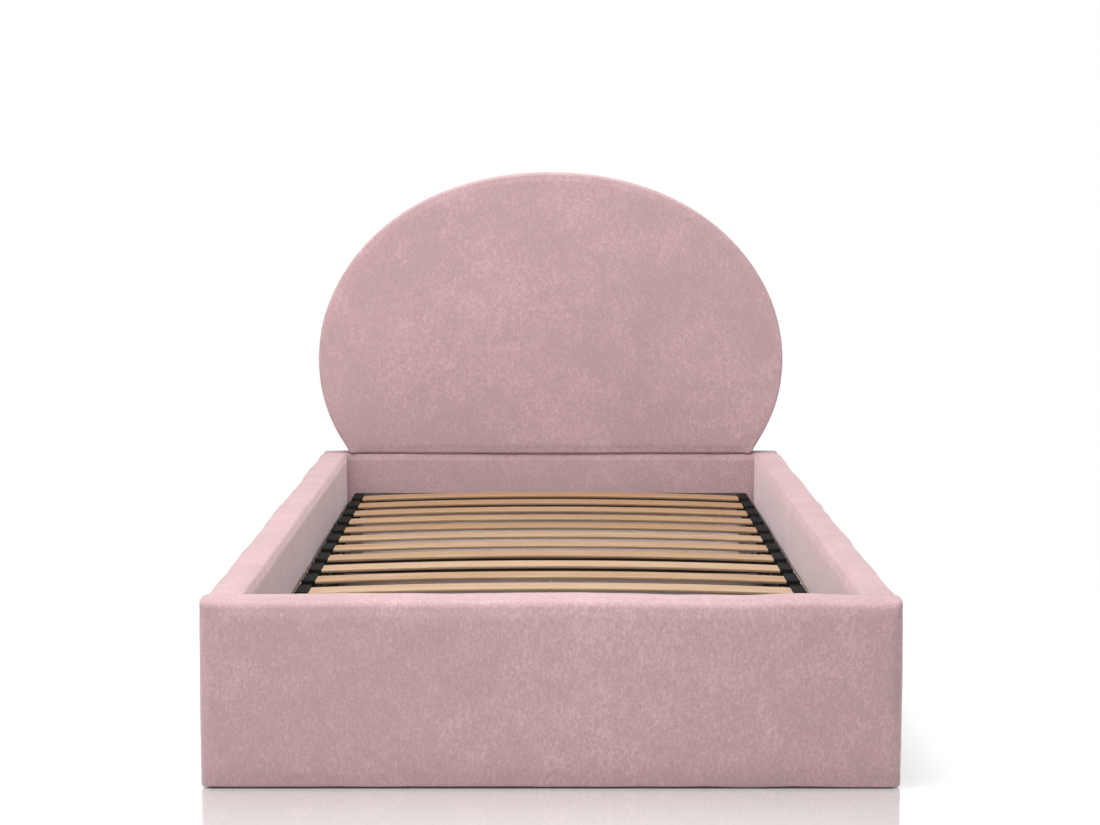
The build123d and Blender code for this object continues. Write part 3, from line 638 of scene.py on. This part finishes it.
def grown(name, tree, values, points=None):
    """The result of a geometry node tree as a plain mesh object."""
    holder = link(name + "_nodes", points or bpy.data.meshes.new(name + "_points"))
    modifier = holder.modifiers.new("Nodes", "NODES")
    modifier.node_group = tree
    for item in tree.interface.items_tree:
        if item.in_out == "INPUT" and item.name in values:
            modifier[item.identifier] = values[item.name]
    return plain_mesh(holder, name)


def slat_tree():
    """A row of sprung slats, each bent upwards, with a tone of its own."""
    tree, given, out = geometry_tree("slat_row", {
        "Count": "Int", "Pitch": "Float", "First": "Vector", "Half Length": "Float", "Rise": "Float",
        "Width": "Float", "Thickness": "Float", "Edge Radius": "Float", "Material": "Material"})

    def point(axis, value):
        return add_node(tree, "ShaderNodeCombineXYZ", {axis: value}).outputs[0]

    arc = add_node(tree, "GeometryNodeCurveArc", {
        "Resolution": ARC_POINTS, "Start": point(0, math_node(tree, "MULTIPLY", given["Half Length"], -1.0)),
        "Middle": point(2, given["Rise"]), "End": point(0, given["Half Length"])}, mode="POINTS").outputs[0]
    upright = add_node(tree, "GeometryNodeSetCurveNormal", {"Curve": arc}, mode="Z_UP").outputs[0]
    section = add_node(tree, "GeometryNodeCurvePrimitiveQuadrilateral", {
        "Width": given["Width"], "Height": given["Thickness"]}).outputs[0]
    rounded = add_node(tree, "GeometryNodeFilletCurve", {
        "Curve": section, "Radius": given["Edge Radius"], "Count": EDGE_POINTS}, mode="POLY").outputs[0]
    slat = add_node(tree, "GeometryNodeCurveToMesh", {"Curve": upright, "Profile Curve": rounded,
                    "Fill Caps": True}).outputs[0]
    row = add_node(tree, "GeometryNodeMeshLine", {
        "Count": given["Count"], "Start Location": given["First"],
        "Offset": point(1, math_node(tree, "MULTIPLY", given["Pitch"], -1.0))}).outputs[0]
    slats = add_node(tree, "GeometryNodeInstanceOnPoints", {"Points": row, "Instance": slat}).outputs[0]
    tone = add_node(tree, "FunctionNodeRandomValue", {2: TONE_LOW, 3: TONE_HIGH, "Seed": TONE_SEED},
                    data_type="FLOAT")
    toned = add_node(tree, "GeometryNodeStoreNamedAttribute", {"Geometry": slats, "Name": "slat_tone",
                     "Value": tone.outputs[1]}, data_type="FLOAT", domain="INSTANCE").outputs[0]
    ended(tree, toned, given["Material"], out)
    return tree


def copies_tree():
    """Copies of one piece on points, each turned by the point's own angles."""
    tree, given, out = geometry_tree("copies_on_points", {"Piece": "Object", "Material": "Material"})
    piece = add_node(tree, "GeometryNodeObjectInfo", {"Object": given["Piece"]}).outputs["Geometry"]
    turn = add_node(tree, "GeometryNodeInputNamedAttribute", {"Name": "turn"}, data_type="FLOAT_VECTOR")
    angles = add_node(tree, "FunctionNodeEulerToRotation", {0: turn.outputs[0]}).outputs[0]
    instances = add_node(tree, "GeometryNodeInstanceOnPoints", {
        "Points": given["Geometry"], "Instance": piece, "Rotation": angles}).outputs[0]
    ended(tree, instances, given["Material"], out)
    return tree


def copies(name, shape, places, finish_name):
    """Copies of a bmesh at (point, euler angles) places, as one plain mesh."""
    mesh = bpy.data.meshes.new(name + "_one")
    shape.to_mesh(mesh)
    shape.free()
    smooth(mesh)
    one = link(name + "_one", mesh)
    points = bpy.data.meshes.new(name + "_points")
    points.from_pydata([tuple(point) for point, _ in places], [], [])
    turns = points.attributes.new("turn", "FLOAT_VECTOR", "POINT")
    turns.data.foreach_set("vector", [angle for _, turn in places for angle in turn])
    tree = bpy.data.node_groups.get("copies_on_points") or copies_tree()
    made = grown(name, tree, {"Piece": one, "Material": bpy.data.materials[finish_name]}, points)
    bpy.data.objects.remove(one)
    bpy.data.meshes.remove(mesh)
    return made


# Pieces

class BED_OT_stage(bpy.types.Operator):
    """White floor with a faint gloss, soft lamps, and the camera at the photographed angle"""

    bl_idname = "bed.stage"
    bl_label = "Stage"

    def execute(self, context):
        settings = context.scene.bed_stage
        self.floor()
        for name, (place, size, aim, spread) in LAMPS.items():
            data = bpy.data.lights.new(f"{name}_lamp", "AREA")
            data.shape = "SQUARE"
            data.size = size
            data.energy = getattr(settings, f"{name}_power")
            data.spread = math.radians(spread)
            lamp = link(f"{name}_lamp", data)
            lamp.location = place
            lamp.rotation_euler = (Vector(aim) - Vector(place)).to_track_quat("-Z", "Y").to_euler()
        self.sky(context, settings.sky)
        self.camera(context, settings)
        context.scene.view_settings.view_transform = "Standard"
        return {"FINISHED"}

    def floor(self):
        """A pale floor that keeps the bed's shadow and a faint reflection, and turns plain white far off."""
        half = FLOOR_HALF
        mesh = bpy.data.meshes.new("floor")
        mesh.from_pydata([(-half, -half, 0), (half, -half, 0), (half, half, 0), (-half, half, 0)], [],
                         [(0, 1, 2, 3)])
        floor = link("floor", mesh)
        made = bpy.data.materials.new("white_floor")
        made.use_nodes = True
        tree = made.node_tree
        tree.nodes.clear()
        lowest, highest = self.footprint()
        middle = (lowest + highest) / 2
        position = add_node(tree, "ShaderNodeTexCoord").outputs["Object"]
        parts = add_node(tree, "ShaderNodeSeparateXYZ", {0: position}).outputs
        # inside is 1 under the bed and 0 outside its edges; beside is 1 past its long sides
        inside = 1.0
        for axis, first, last in (("X", lowest.x, highest.x), ("Y", lowest.y, highest.y)):
            reach = math_node(tree, "ABSOLUTE", math_node(tree, "SUBTRACT", parts[axis], (first + last) / 2))
            edge = (last - first) / 2
            within = ramp(tree, reach, edge - UNDER_IN, edge + UNDER_OUT, 1.0, 0.0)
            inside = math_node(tree, "MULTIPLY", inside, within)
            if axis == "X":
                beside = ramp(tree, reach, edge - BESIDE_IN, edge + BESIDE_OUT)
        distance = add_node(tree, "ShaderNodeVectorMath", {0: position, 1: (middle.x, middle.y, 0.0)},
                            operation="DISTANCE").outputs["Value"]
        near = math_node(tree, "MULTIPLY_ADD", beside, WHITE_LOSS, WHITE_NEAR)
        plain = ramp(tree, distance, WHITE_START, WHITE_END, near, 1.0)
        plain = math_node(tree, "MULTIPLY", plain, math_node(tree, "SUBTRACT", 1.0, inside))
        shine = ramp(tree, math_node(tree, "SUBTRACT", lowest.y, parts["Y"]), 0.0, MIRROR_REACH, MIRROR_NEAR,
                     MIRROR_FAR)
        for place, loss in ((beside, MIRROR_BESIDE), (inside, MIRROR_UNDER)):
            left = math_node(tree, "MULTIPLY_ADD", place, loss, 1.0)
            shine = math_node(tree, "MULTIPLY", shine, left)
        grazing = add_node(tree, "ShaderNodeLayerWeight", {0: 0.5}).outputs["Facing"]
        grazing = ramp(tree, grazing, GRAZING_START, GRAZING_END, GRAZING_LEAST, 1.0)
        shine = math_node(tree, "MULTIPLY", shine, grazing)
        diffuse = add_node(tree, "ShaderNodeBsdfDiffuse", {"Color": FLOOR_PAINT}).outputs[0]
        white = add_node(tree, "ShaderNodeEmission", {"Color": WHITE, "Strength": 1.0}).outputs[0]
        gloss = add_node(tree, "ShaderNodeBsdfGlossy",
                         {"Color": WHITE, "Roughness": FLOOR_ROUGHNESS}).outputs[0]
        shown = add_node(tree, "ShaderNodeMixShader", {0: plain, 1: diffuse, 2: white}).outputs[0]
        polished = add_node(tree, "ShaderNodeMixShader", {0: shine, 1: shown, 2: gloss}).outputs[0]
        seen = add_node(tree, "ShaderNodeLightPath").outputs["Is Camera Ray"]
        both = add_node(tree, "ShaderNodeMixShader", {0: seen, 1: diffuse, 2: polished}).outputs[0]
        add_node(tree, "ShaderNodeOutputMaterial", {"Surface": both})
        mesh.materials.append(made)

    def footprint(self):
        """The corners of the space that the panels' covers take."""
        corners = [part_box(f"{name}_cover") for name in PANELS]
        first = Vector([min(corner[0][axis] for corner in corners) for axis in range(3)])
        last = Vector([max(corner[1][axis] for corner in corners) for axis in range(3)])
        return first, last

    def sky(self, context, strength):
        """Soft light from all round, seen as white."""
        world = bpy.data.worlds.new("white_room")
        world.use_nodes = True
        tree = world.node_tree
        tree.nodes.clear()
        rays = add_node(tree, "ShaderNodeLightPath").outputs
        shown = math_node(tree, "MAXIMUM", rays["Is Camera Ray"], rays["Is Glossy Ray"])
        shown = math_node(tree, "MAXIMUM", shown, rays["Is Transmission Ray"])
        soft = add_node(tree, "ShaderNodeBackground", {"Color": WHITE, "Strength": strength}).outputs[0]
        white = add_node(tree, "ShaderNodeBackground", {"Color": WHITE, "Strength": 1.0}).outputs[0]
        both = add_node(tree, "ShaderNodeMixShader", {0: shown, 1: soft, 2: white}).outputs[0]
        add_node(tree, "ShaderNodeOutputWorld", {"Surface": both})
        context.scene.world = world

    def camera(self, context, settings):
        """The camera in front of the footboard, tilted down a little."""
        data = bpy.data.cameras.new("camera")
        data.sensor_width = CAMERA_FRAME
        data.lens = settings.lens
        made = link("camera", data)
        made.location = (CAMERA_ACROSS, cad_box[0].y - settings.camera_distance, settings.camera_height)
        made.rotation_euler = (math.pi / 2 - settings.camera_tilt, 0.0, 0.0)
        context.scene.camera = made


class BED_OT_padding(bpy.types.Operator):
    """Velvet over foam: the four padded panels and the round headboard"""

    bl_idname = "bed.padding"
    bl_label = "Padded velvet"

    def execute(self, context):
        settings = context.scene.bed_padding
        for seed, name in enumerate(PANELS + ("headboard",)):
            piece = self.remeshed(name, settings)
            rest = vertex_data(piece.data, "co")
            free = self.free_share(rest, name)
            normals = vertex_data(piece.data, "normal")
            self.swell(piece, rest, free, name, settings)
            points = vertex_data(piece.data, "co")
            self.uneven(points, rest, normals, free, seed, settings)
            if name == "headboard":
                self.shape_headboard(points, rest, settings)
            else:
                self.shape_panel(points, rest, free, name, seed, settings)
            move_vertices(piece.data, points)
            finish(piece, "rose_velvet")
            piece.data.shade_smooth()
            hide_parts(f"{name}_foam", f"{name}_cover")
            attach(piece, "box")
        return {"FINISHED"}

    def remeshed(self, name, settings):
        """The foam's form, grown by the cover, in even cells."""
        mesh = merged_copy(f"{name}_foam")
        shape = bmesh.new()
        shape.from_mesh(mesh)
        shape.normal_update()
        for vertex in shape.verts:
            vertex.co += vertex.normal * (settings.cover * vertex.calc_shell_factor())
        shape.to_mesh(mesh)
        shape.free()
        piece = link(f"{name}_velvet", mesh)
        modifier = piece.modifiers.new("Remesh", "REMESH")
        modifier.mode = "VOXEL"
        modifier.voxel_size = settings.cell
        modifier.use_smooth_shade = True
        piece = plain_mesh(piece, f"{name}_velvet")
        piece.data.materials.clear()
        return piece

    def free_share(self, rest, name):
        """How free each point is: 1 on the velvet's faces, 0 in the core's space and at the hems."""
        mesh = merged_copy(f"{name}_cover")
        tree = BVHTree.FromPolygons([v.co for v in mesh.vertices], [p.vertices[:] for p in mesh.polygons])
        bpy.data.meshes.remove(mesh)
        near = np.array([tree.find_nearest(Vector(p))[3] for p in rest])
        free = np.clip((COVER_REACH - near) / COVER_FADE, 0.0, 1.0)
        lowest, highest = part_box(f"{name}_cover")
        if name == "headboard":
            return free * np.clip((highest.y - rest[:, 1]) / BACK_FADE, 0.0, 1.0)
        free *= np.clip((rest[:, 2] - lowest.z) / HEM_FADE, 0.0, 1.0)
        if name in SIDES:
            ends = np.minimum(rest[:, 1] - lowest.y, highest.y - rest[:, 1])
            free *= np.clip(ends / END_FADE, 0.0, 1.0)
        return free

    def swell(self, piece, rest, free, name, settings):
        """Blows the cloth up a little over the foam, then applies it."""
        group = piece.vertex_groups.new(name="held")
        steps = np.round(1.0 - free, 1)
        for share in np.unique(steps[steps > 0.0]):
            group.add(np.flatnonzero(steps == share).tolist(), float(share), "REPLACE")
        modifier = piece.modifiers.new("Cloth", "CLOTH")
        cloth = modifier.settings
        for setting, value in CLOTH.items():
            setattr(cloth, setting, value)
        cloth.effector_weights.gravity = 0.0
        cloth.uniform_pressure_force = settings.pressure
        cloth.vertex_group_mass = "held"
        modifier.collision_settings.use_collision = False
        modifier.collision_settings.use_self_collision = False
        scene = bpy.context.scene
        for step in range(1, settings.frames + 1):
            scene.frame_set(step)
        evaluated = piece.evaluated_get(bpy.context.evaluated_depsgraph_get())
        moved = vertex_data(evaluated.to_mesh(), "co") - rest
        evaluated.to_mesh_clear()
        piece.modifiers.remove(modifier)
        piece.vertex_groups.clear()
        scene.frame_set(1)
        travel = np.linalg.norm(moved, axis=1, keepdims=True)
        most = settings.taut_swell if name in ("head", "headboard") else settings.swell_most
        held = most * np.tanh(travel / most) / np.maximum(travel, 1e-9)
        move_vertices(piece.data, rest + moved * held)

    def uneven(self, points, rest, normals, free, seed, settings):
        """Makes the faces a little uneven, as hand-laid wadding is."""
        offset = Vector([step * seed for step in NOISE_STEP])
        soft = np.array([noise.noise(Vector(p) * SOFT_NOISE + offset) for p in rest])
        fine = np.array([noise.noise(Vector(p) * FINE_NOISE + offset) for p in rest])
        depth = free * settings.face_wave * (SOFT_PART * soft + FINE_PART * fine)
        points += normals * depth[:, None]

    def shape_headboard(self, points, rest, settings):
        """A flatter face, full shoulders, and a lower edge that sags a little on the rail."""
        lowest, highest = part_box("headboard_cover")
        self.flatter(points, lowest, highest, settings)
        self.fuller(points, (lowest.x + highest.x) / 2, highest.z - settings.upper_radius, settings.fullness)
        front = np.clip((lowest.y + SAG_DEPTH - rest[:, 1]) / SAG_BLEND, 0.0, 1.0)
        sag = SAG_BACK + SAG_FRONT * front
        points[:, 2] -= sag * np.clip((lowest.z + SAG_BAND - rest[:, 2]) / SAG_BAND, 0.0, 1.0)

    def shape_panel(self, points, rest, free, name, seed, settings):
        """Square ends, waves along the rim and the hem, and what only a side or the footboard has."""
        lowest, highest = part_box(f"{name}_cover")
        rounding = END_ROUNDING[name]
        for sign, edge in ((-1, lowest.x), (1, highest.x)):
            self.squarer(points, 0, sign, edge - sign * rounding, highest.z - rounding, settings.crispness)
        if name not in SIDES:
            crispness = FOOT_CRISPNESS if name == "foot" else settings.crispness
            self.squarer(points, 1, -1, lowest.y + rounding, highest.z - rounding, crispness)
        along = rest[:, 1 if name in SIDES else 0]
        rim = np.clip(1.0 - (highest.z - rest[:, 2]) / RIM_BAND, 0.0, 1.0) * free
        wave = np.array([noise.noise(Vector((a * WAVE_NOISE, 5.0 * seed, 0.5))) for a in along])
        ripple = np.array([noise.noise(Vector((a * RIPPLE_NOISE, 3.0 * seed, 2.5))) for a in along])
        lift = settings.edge_wave * (wave + RIPPLE_PART * ripple)
        points[:, 2] += rim * (np.maximum(lift, 0.0) * HEAD_PART if name == "head" else lift + RIM_LIFT)
        if name in SIDES:
            outer = np.clip((np.abs(rest[:, 0]) - OUTER_START) / OUTER_BLEND, 0.0, 1.0) * rim
            lean = LEAN_OUT + LEAN_WAVE * wave + LEAN_RIPPLE * ripple
            points[:, 0] += SIDES[name] * outer * settings.edge_wave * lean
        if name == "foot":
            hump = np.exp(-((rest[:, 0] - HUMP_PLACE) / HUMP_WIDTH) ** 2)
            forward = np.clip((lowest.y + CROWN_BACK - rest[:, 1]) / CROWN_BLEND, 0.0, 1.0)
            forward *= forward * (3.0 - 2.0 * forward)
            points[:, 2] += rim * (CROWN_LOW + CROWN_RISE * forward + HUMP_RISE * hump)
            below = 1.0 - np.clip(rest[:, 2] / highest.z, 0.0, 1.0)
            splay = (SPLAY_TOP + SPLAY_FOOT * below) * np.abs(rest[:, 0] / highest.x)
            points[:, 0] += np.sign(rest[:, 0]) * splay
        hem = np.clip(1.0 - (rest[:, 2] - lowest.z) / HEM_BAND, 0.0, 1.0)
        points[:, 2] += hem * settings.edge_wave * HEM_PART * ripple

    def squarer(self, points, axis, sign, middle, middle_z, power):
        """Pushes a rounded top edge outwards along an axis and up, so that it looks less round."""
        across = (points[:, axis] - middle) * sign
        up = points[:, 2] - middle_z
        corner = (across > 0.0) & (up > 0.0)
        radius = np.hypot(across[corner], up[corner])
        cosine, sine = across[corner] / radius, up[corner] / radius
        factor = (cosine ** power + sine ** power) ** (-1.0 / power)
        points[corner, axis] = middle + sign * across[corner] * factor
        points[corner, 2] = middle_z + up[corner] * factor

    def flatter(self, points, lowest, highest, settings):
        """Cuts the headboard's dome down and makes its front edge less round."""
        centre = np.array([(lowest.x + highest.x) / 2, highest.z - settings.upper_radius])
        half = highest.x - centre[0]
        from_centre = points[:, (0, 2)] - centre
        tall = np.where(from_centre[:, 1] > 0.0, settings.upper_radius, settings.lower_radius)
        share = np.maximum(np.hypot(from_centre[:, 0] / half, from_centre[:, 1] / tall), 1e-6)
        distance = np.maximum(np.linalg.norm(from_centre, axis=1), 1e-9)
        fall = np.minimum(distance / half, 1.0) ** 2
        front = np.clip((highest.y - DOME_BACK - points[:, 1]) / DOME_BLEND, 0.0, 1.0)
        points[:, 1] -= settings.dome_cut * fall * front
        face = lowest.y + (settings.dome - settings.dome_cut) * fall
        edge = settings.front_edge
        outward = 1.0 - distance * (1.0 / share - 1.0) / edge
        self.pushed(points, outward, face, from_centre / distance[:, None], settings)
        below = np.tile((0.0, -1.0), (len(points), 1))
        self.pushed(points, 1.0 - (points[:, 2] - lowest.z) / edge, face, below, settings)

    def pushed(self, points, outward, face, direction, settings):
        """Makes a rounded front edge squarer; outward runs from 0 at the start of the rounding to 1."""
        edge, power = settings.front_edge, settings.head_crispness
        forward = 1.0 - (points[:, 1] - face) / edge
        corner = (outward > 0.0) & (forward > 0.0)
        out, ahead = np.minimum(outward[corner], EDGE_OVERRUN), np.minimum(forward[corner], EDGE_OVERRUN)
        length = np.hypot(out, ahead)
        move = (((out / length) ** power + (ahead / length) ** power) ** (-1.0 / power) - 1.0) * edge
        points[corner, 0] += direction[corner, 0] * out * move
        points[corner, 2] += direction[corner, 1] * out * move
        points[corner, 1] -= ahead * move

    def fuller(self, points, middle_x, middle_z, power):
        """Pushes the diagonals of the headboard outwards."""
        across = points[:, 0] - middle_x
        up = points[:, 2] - middle_z
        radius = np.maximum(np.hypot(across, up), 1e-9)
        cosine, sine = np.abs(across) / radius, np.abs(up) / radius
        factor = (cosine ** power + sine ** power) ** (-1.0 / power)
        points[:, 0] = middle_x + across * factor
        points[:, 2] += up * (factor - 1.0) * (up > 0.0)


class BED_OT_slats(bpy.types.Operator):
    """The sprung slats of the base"""

    bl_idname = "bed.slats"
    bl_label = "Slats"

    def execute(self, context):
        names = sorted(n for n in nodes if n.startswith("slat_") and n[-1].isdigit())
        first_low, first_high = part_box(names[0])
        last_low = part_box(names[-1])[0]
        solid = solids_of(names[0])[0]
        ends = solid[np.abs(solid[:, 0] - first_high.x) < SAME_PLACE]
        thickness = ends[:, 2].max() - ends[:, 2].min()
        first = ((first_low.x + first_high.x) / 2, (first_low.y + first_high.y) / 2,
                 first_low.z + thickness / 2)
        made = grown("slats", slat_tree(), {
            "Count": len(names), "Pitch": (first_low.y - last_low.y) / (len(names) - 1), "First": first,
            "Half Length": first_high.x, "Rise": first_high.z - first_low.z - thickness,
            "Width": first_high.y - first_low.y, "Thickness": thickness,
            "Edge Radius": context.scene.bed_slats.edge_radius, "Material": bpy.data.materials["bent_birch"]})
        smooth(made.data, 50.0)
        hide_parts(*names)
        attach(made, "slatted_base")
        return {"FINISHED"}


class BED_OT_holders(bpy.types.Operator):
    """The black plastic holders at the ends of the slats"""

    bl_idname = "bed.holders"
    bl_label = "Slat holders"

    def execute(self, context):
        edge = context.scene.bed_fittings.holder_edge
        for side, sign in SIDES.items():
            solids = solids_of(f"slat_holders_{side}")
            places = []
            for points in solids:
                lowest, highest = points.min(0), points.max(0)
                places.append((((lowest[0] + highest[0]) / 2, (lowest[1] + highest[1]) / 2, lowest[2]),
                               (0.0, 0.0, 0.0 if sign > 0 else math.pi)))
            shape = self.holder(solids[0], sign, edge)
            made = copies(f"slat_holders_{side}_moulded", shape, places, "moulded_plastic")
            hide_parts(f"slat_holders_{side}")
            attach(made, "slatted_base")
        return {"FINISHED"}

    def holder(self, points, sign, edge):
        """One holder: a rounded cap with two ribs, and a tongue under the slat that points to -X."""
        lowest, highest = points.min(0), points.max(0)
        middle = (lowest + highest) / 2
        local = (points - np.array([middle[0], middle[1], lowest[2]])) * np.array([sign, 1.0, 1.0])
        height = highest[2] - lowest[2]
        cap_low = local[local[:, 2] > TONGUE_THICKNESS + ABOVE_TONGUE][:, 0].min()
        cap_high = local[:, 0].max()
        cap_length, cap_middle = cap_high - cap_low, (cap_high + cap_low) / 2
        width = local[:, 1].max() - local[:, 1].min()
        tip = local[:, 0].min()
        tongue = local[np.abs(local[:, 0] - tip) < SAME_PLACE]
        tongue_width = tongue[:, 1].max() - tongue[:, 1].min()
        tongue_end = cap_low + TONGUE_LAP
        shape = rounded_block((cap_length, width, height), (cap_middle, 0.0, height / 2), edge, 3)
        join(shape, rounded_block((tongue_end - tip, tongue_width, TONGUE_THICKNESS),
                                  ((tip + tongue_end) / 2, 0.0, TONGUE_THICKNESS / 2), TONGUE_EDGE, 2))
        rib_height = height + RIB_RISE
        for side in (-1, 1):
            place = (cap_middle, side * (width / 2 - RIB_INSET), rib_height / 2)
            join(shape, rounded_block((cap_length, RIB_WIDTH, rib_height), place, RIB_EDGE, 2))
        return shape


class BED_OT_fasteners(bpy.types.Operator):
    """Bolts and screws"""

    bl_idname = "bed.fasteners"
    bl_label = "Bolts and screws"

    def execute(self, context):
        screw = turned_shape(SCREW_PROFILE, SCREW_STEPS)
        for node, made_name, shape in (("frame_bolts", "frame_bolts_hex", self.bolt()),
                                       ("wall_screws", "wall_screws_pan", screw)):
            made = copies(made_name, shape, self.headed_places(node), "zinc_plate")
            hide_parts(node)
            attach(made, "box")
        return {"FINISHED"}

    def headed_places(self, node):
        """Where the heads of a node's bolts sit: the point under each head and the turn that points Z out."""
        places = []
        for points in solids_of(node):
            lowest, highest = points.min(0), points.max(0)
            middle = (lowest + highest) / 2
            spans = highest - lowest
            axis = int(np.argmin([abs(spans[(k + 1) % 3] - spans[(k + 2) % 3]) for k in range(3)]))
            radial = np.hypot(*(points[:, k] - middle[k] for k in range(3) if k != axis))
            head = points[radial > HEAD_SHARE * radial.max()][:, axis]
            outward = 1.0 if head.mean() > middle[axis] else -1.0
            place = middle.copy()
            place[axis] = head.min() if outward > 0 else head.max()
            direction = Vector([outward if k == axis else 0.0 for k in range(3)])
            places.append((place, tuple(direction.to_track_quat("Z", "Y").to_euler())))
        return places

    def bolt(self):
        """A pan head with a hexagon socket on a thin washer, with its shank."""
        shape = turned_shape(BOLT_PROFILE, BOLT_STEPS)
        for vertex in shape.verts:
            if vertex.co.z > 0.0 and 0.0 < vertex.co.xy.length < SOCKET_RADIUS:
                angle = math.atan2(vertex.co.y, vertex.co.x) % (math.pi / 3) - math.pi / 6
                factor = math.cos(math.pi / 6) / math.cos(angle)
                vertex.co.x *= factor
                vertex.co.y *= factor
        return shape


class BED_OT_packed_finishes(bpy.types.Operator):
    """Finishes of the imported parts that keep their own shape"""

    bl_idname = "bed.packed_finishes"
    bl_label = "Boards, steel and struts"

    def execute(self, context):
        names = {
            "headboard_core": "bare_board_x", "headboard_lining": "lining_felt", "glides": "moulded_plastic",
            "headboard_plates": "coated_steel", "corner_brackets": "zinc_plate",
            "box_battens": "sawn_timber_y", "bottom_boards": "hardboard",
        }
        for name in PANELS:
            along = "y" if name in SIDES else "x"
            names[f"{name}_inner_board"] = f"bare_board_{along}"
            names[f"{name}_timber_frame"] = f"sawn_timber_{along}"
        for place in ("left", "right", "head", "middle", "foot"):
            names[f"base_tube_{place}"] = "coated_steel"
        for side in SIDES:
            for part in ("lift_wall_plate", "rear_arm", "front_arm", "base_bracket"):
                names[f"{part}_{side}"] = "coated_steel"
            names[f"strut_barrel_{side}"] = "gloss_black"
            names[f"strut_rod_{side}"] = "rod_chrome"
        for node, finish_name in names.items():
            finish(nodes[node], finish_name)
        return {"FINISHED"}


class BED_PT_panel(bpy.types.Panel):
    """Buttons for the pieces of the bed"""

    bl_idname = "BED_PT_panel"
    bl_label = "Bed"
    bl_space_type = "VIEW_3D"
    bl_region_type = "UI"
    bl_category = "Bed"

    def draw(self, context):
        for operator in OPERATORS:
            self.layout.operator(operator.bl_idname)


SETTINGS = {"bed_velvet": VelvetSettings, "bed_padding": PaddingSettings, "bed_slats": SlatSettings,
            "bed_fittings": FittingSettings, "bed_boards": BoardSettings, "bed_stage": StageSettings}
OPERATORS = (BED_OT_stage, BED_OT_packed_finishes, BED_OT_padding, BED_OT_slats, BED_OT_holders,
             BED_OT_fasteners)


def register():
    """Registers the settings, the operators and the panel."""
    for name, group in SETTINGS.items():
        bpy.utils.register_class(group)
        setattr(bpy.types.Scene, name, PointerProperty(type=group))
    for operator in OPERATORS:
        bpy.utils.register_class(operator)
    bpy.utils.register_class(BED_PT_panel)


def unregister():
    """Takes them all away again."""
    bpy.utils.unregister_class(BED_PT_panel)
    for operator in reversed(OPERATORS):
        bpy.utils.unregister_class(operator)
    for name, group in reversed(SETTINGS.items()):
        delattr(bpy.types.Scene, name)
        bpy.utils.unregister_class(group)


def main():
    """Builds the whole bed."""
    register()
    make_materials(bpy.context.scene)
    bpy.ops.bed.stage()
    bpy.ops.bed.packed_finishes()
    bpy.ops.bed.padding()
    bpy.ops.bed.slats()
    bpy.ops.bed.holders()
    bpy.ops.bed.fasteners()


if __name__ == "__main__":
    main()
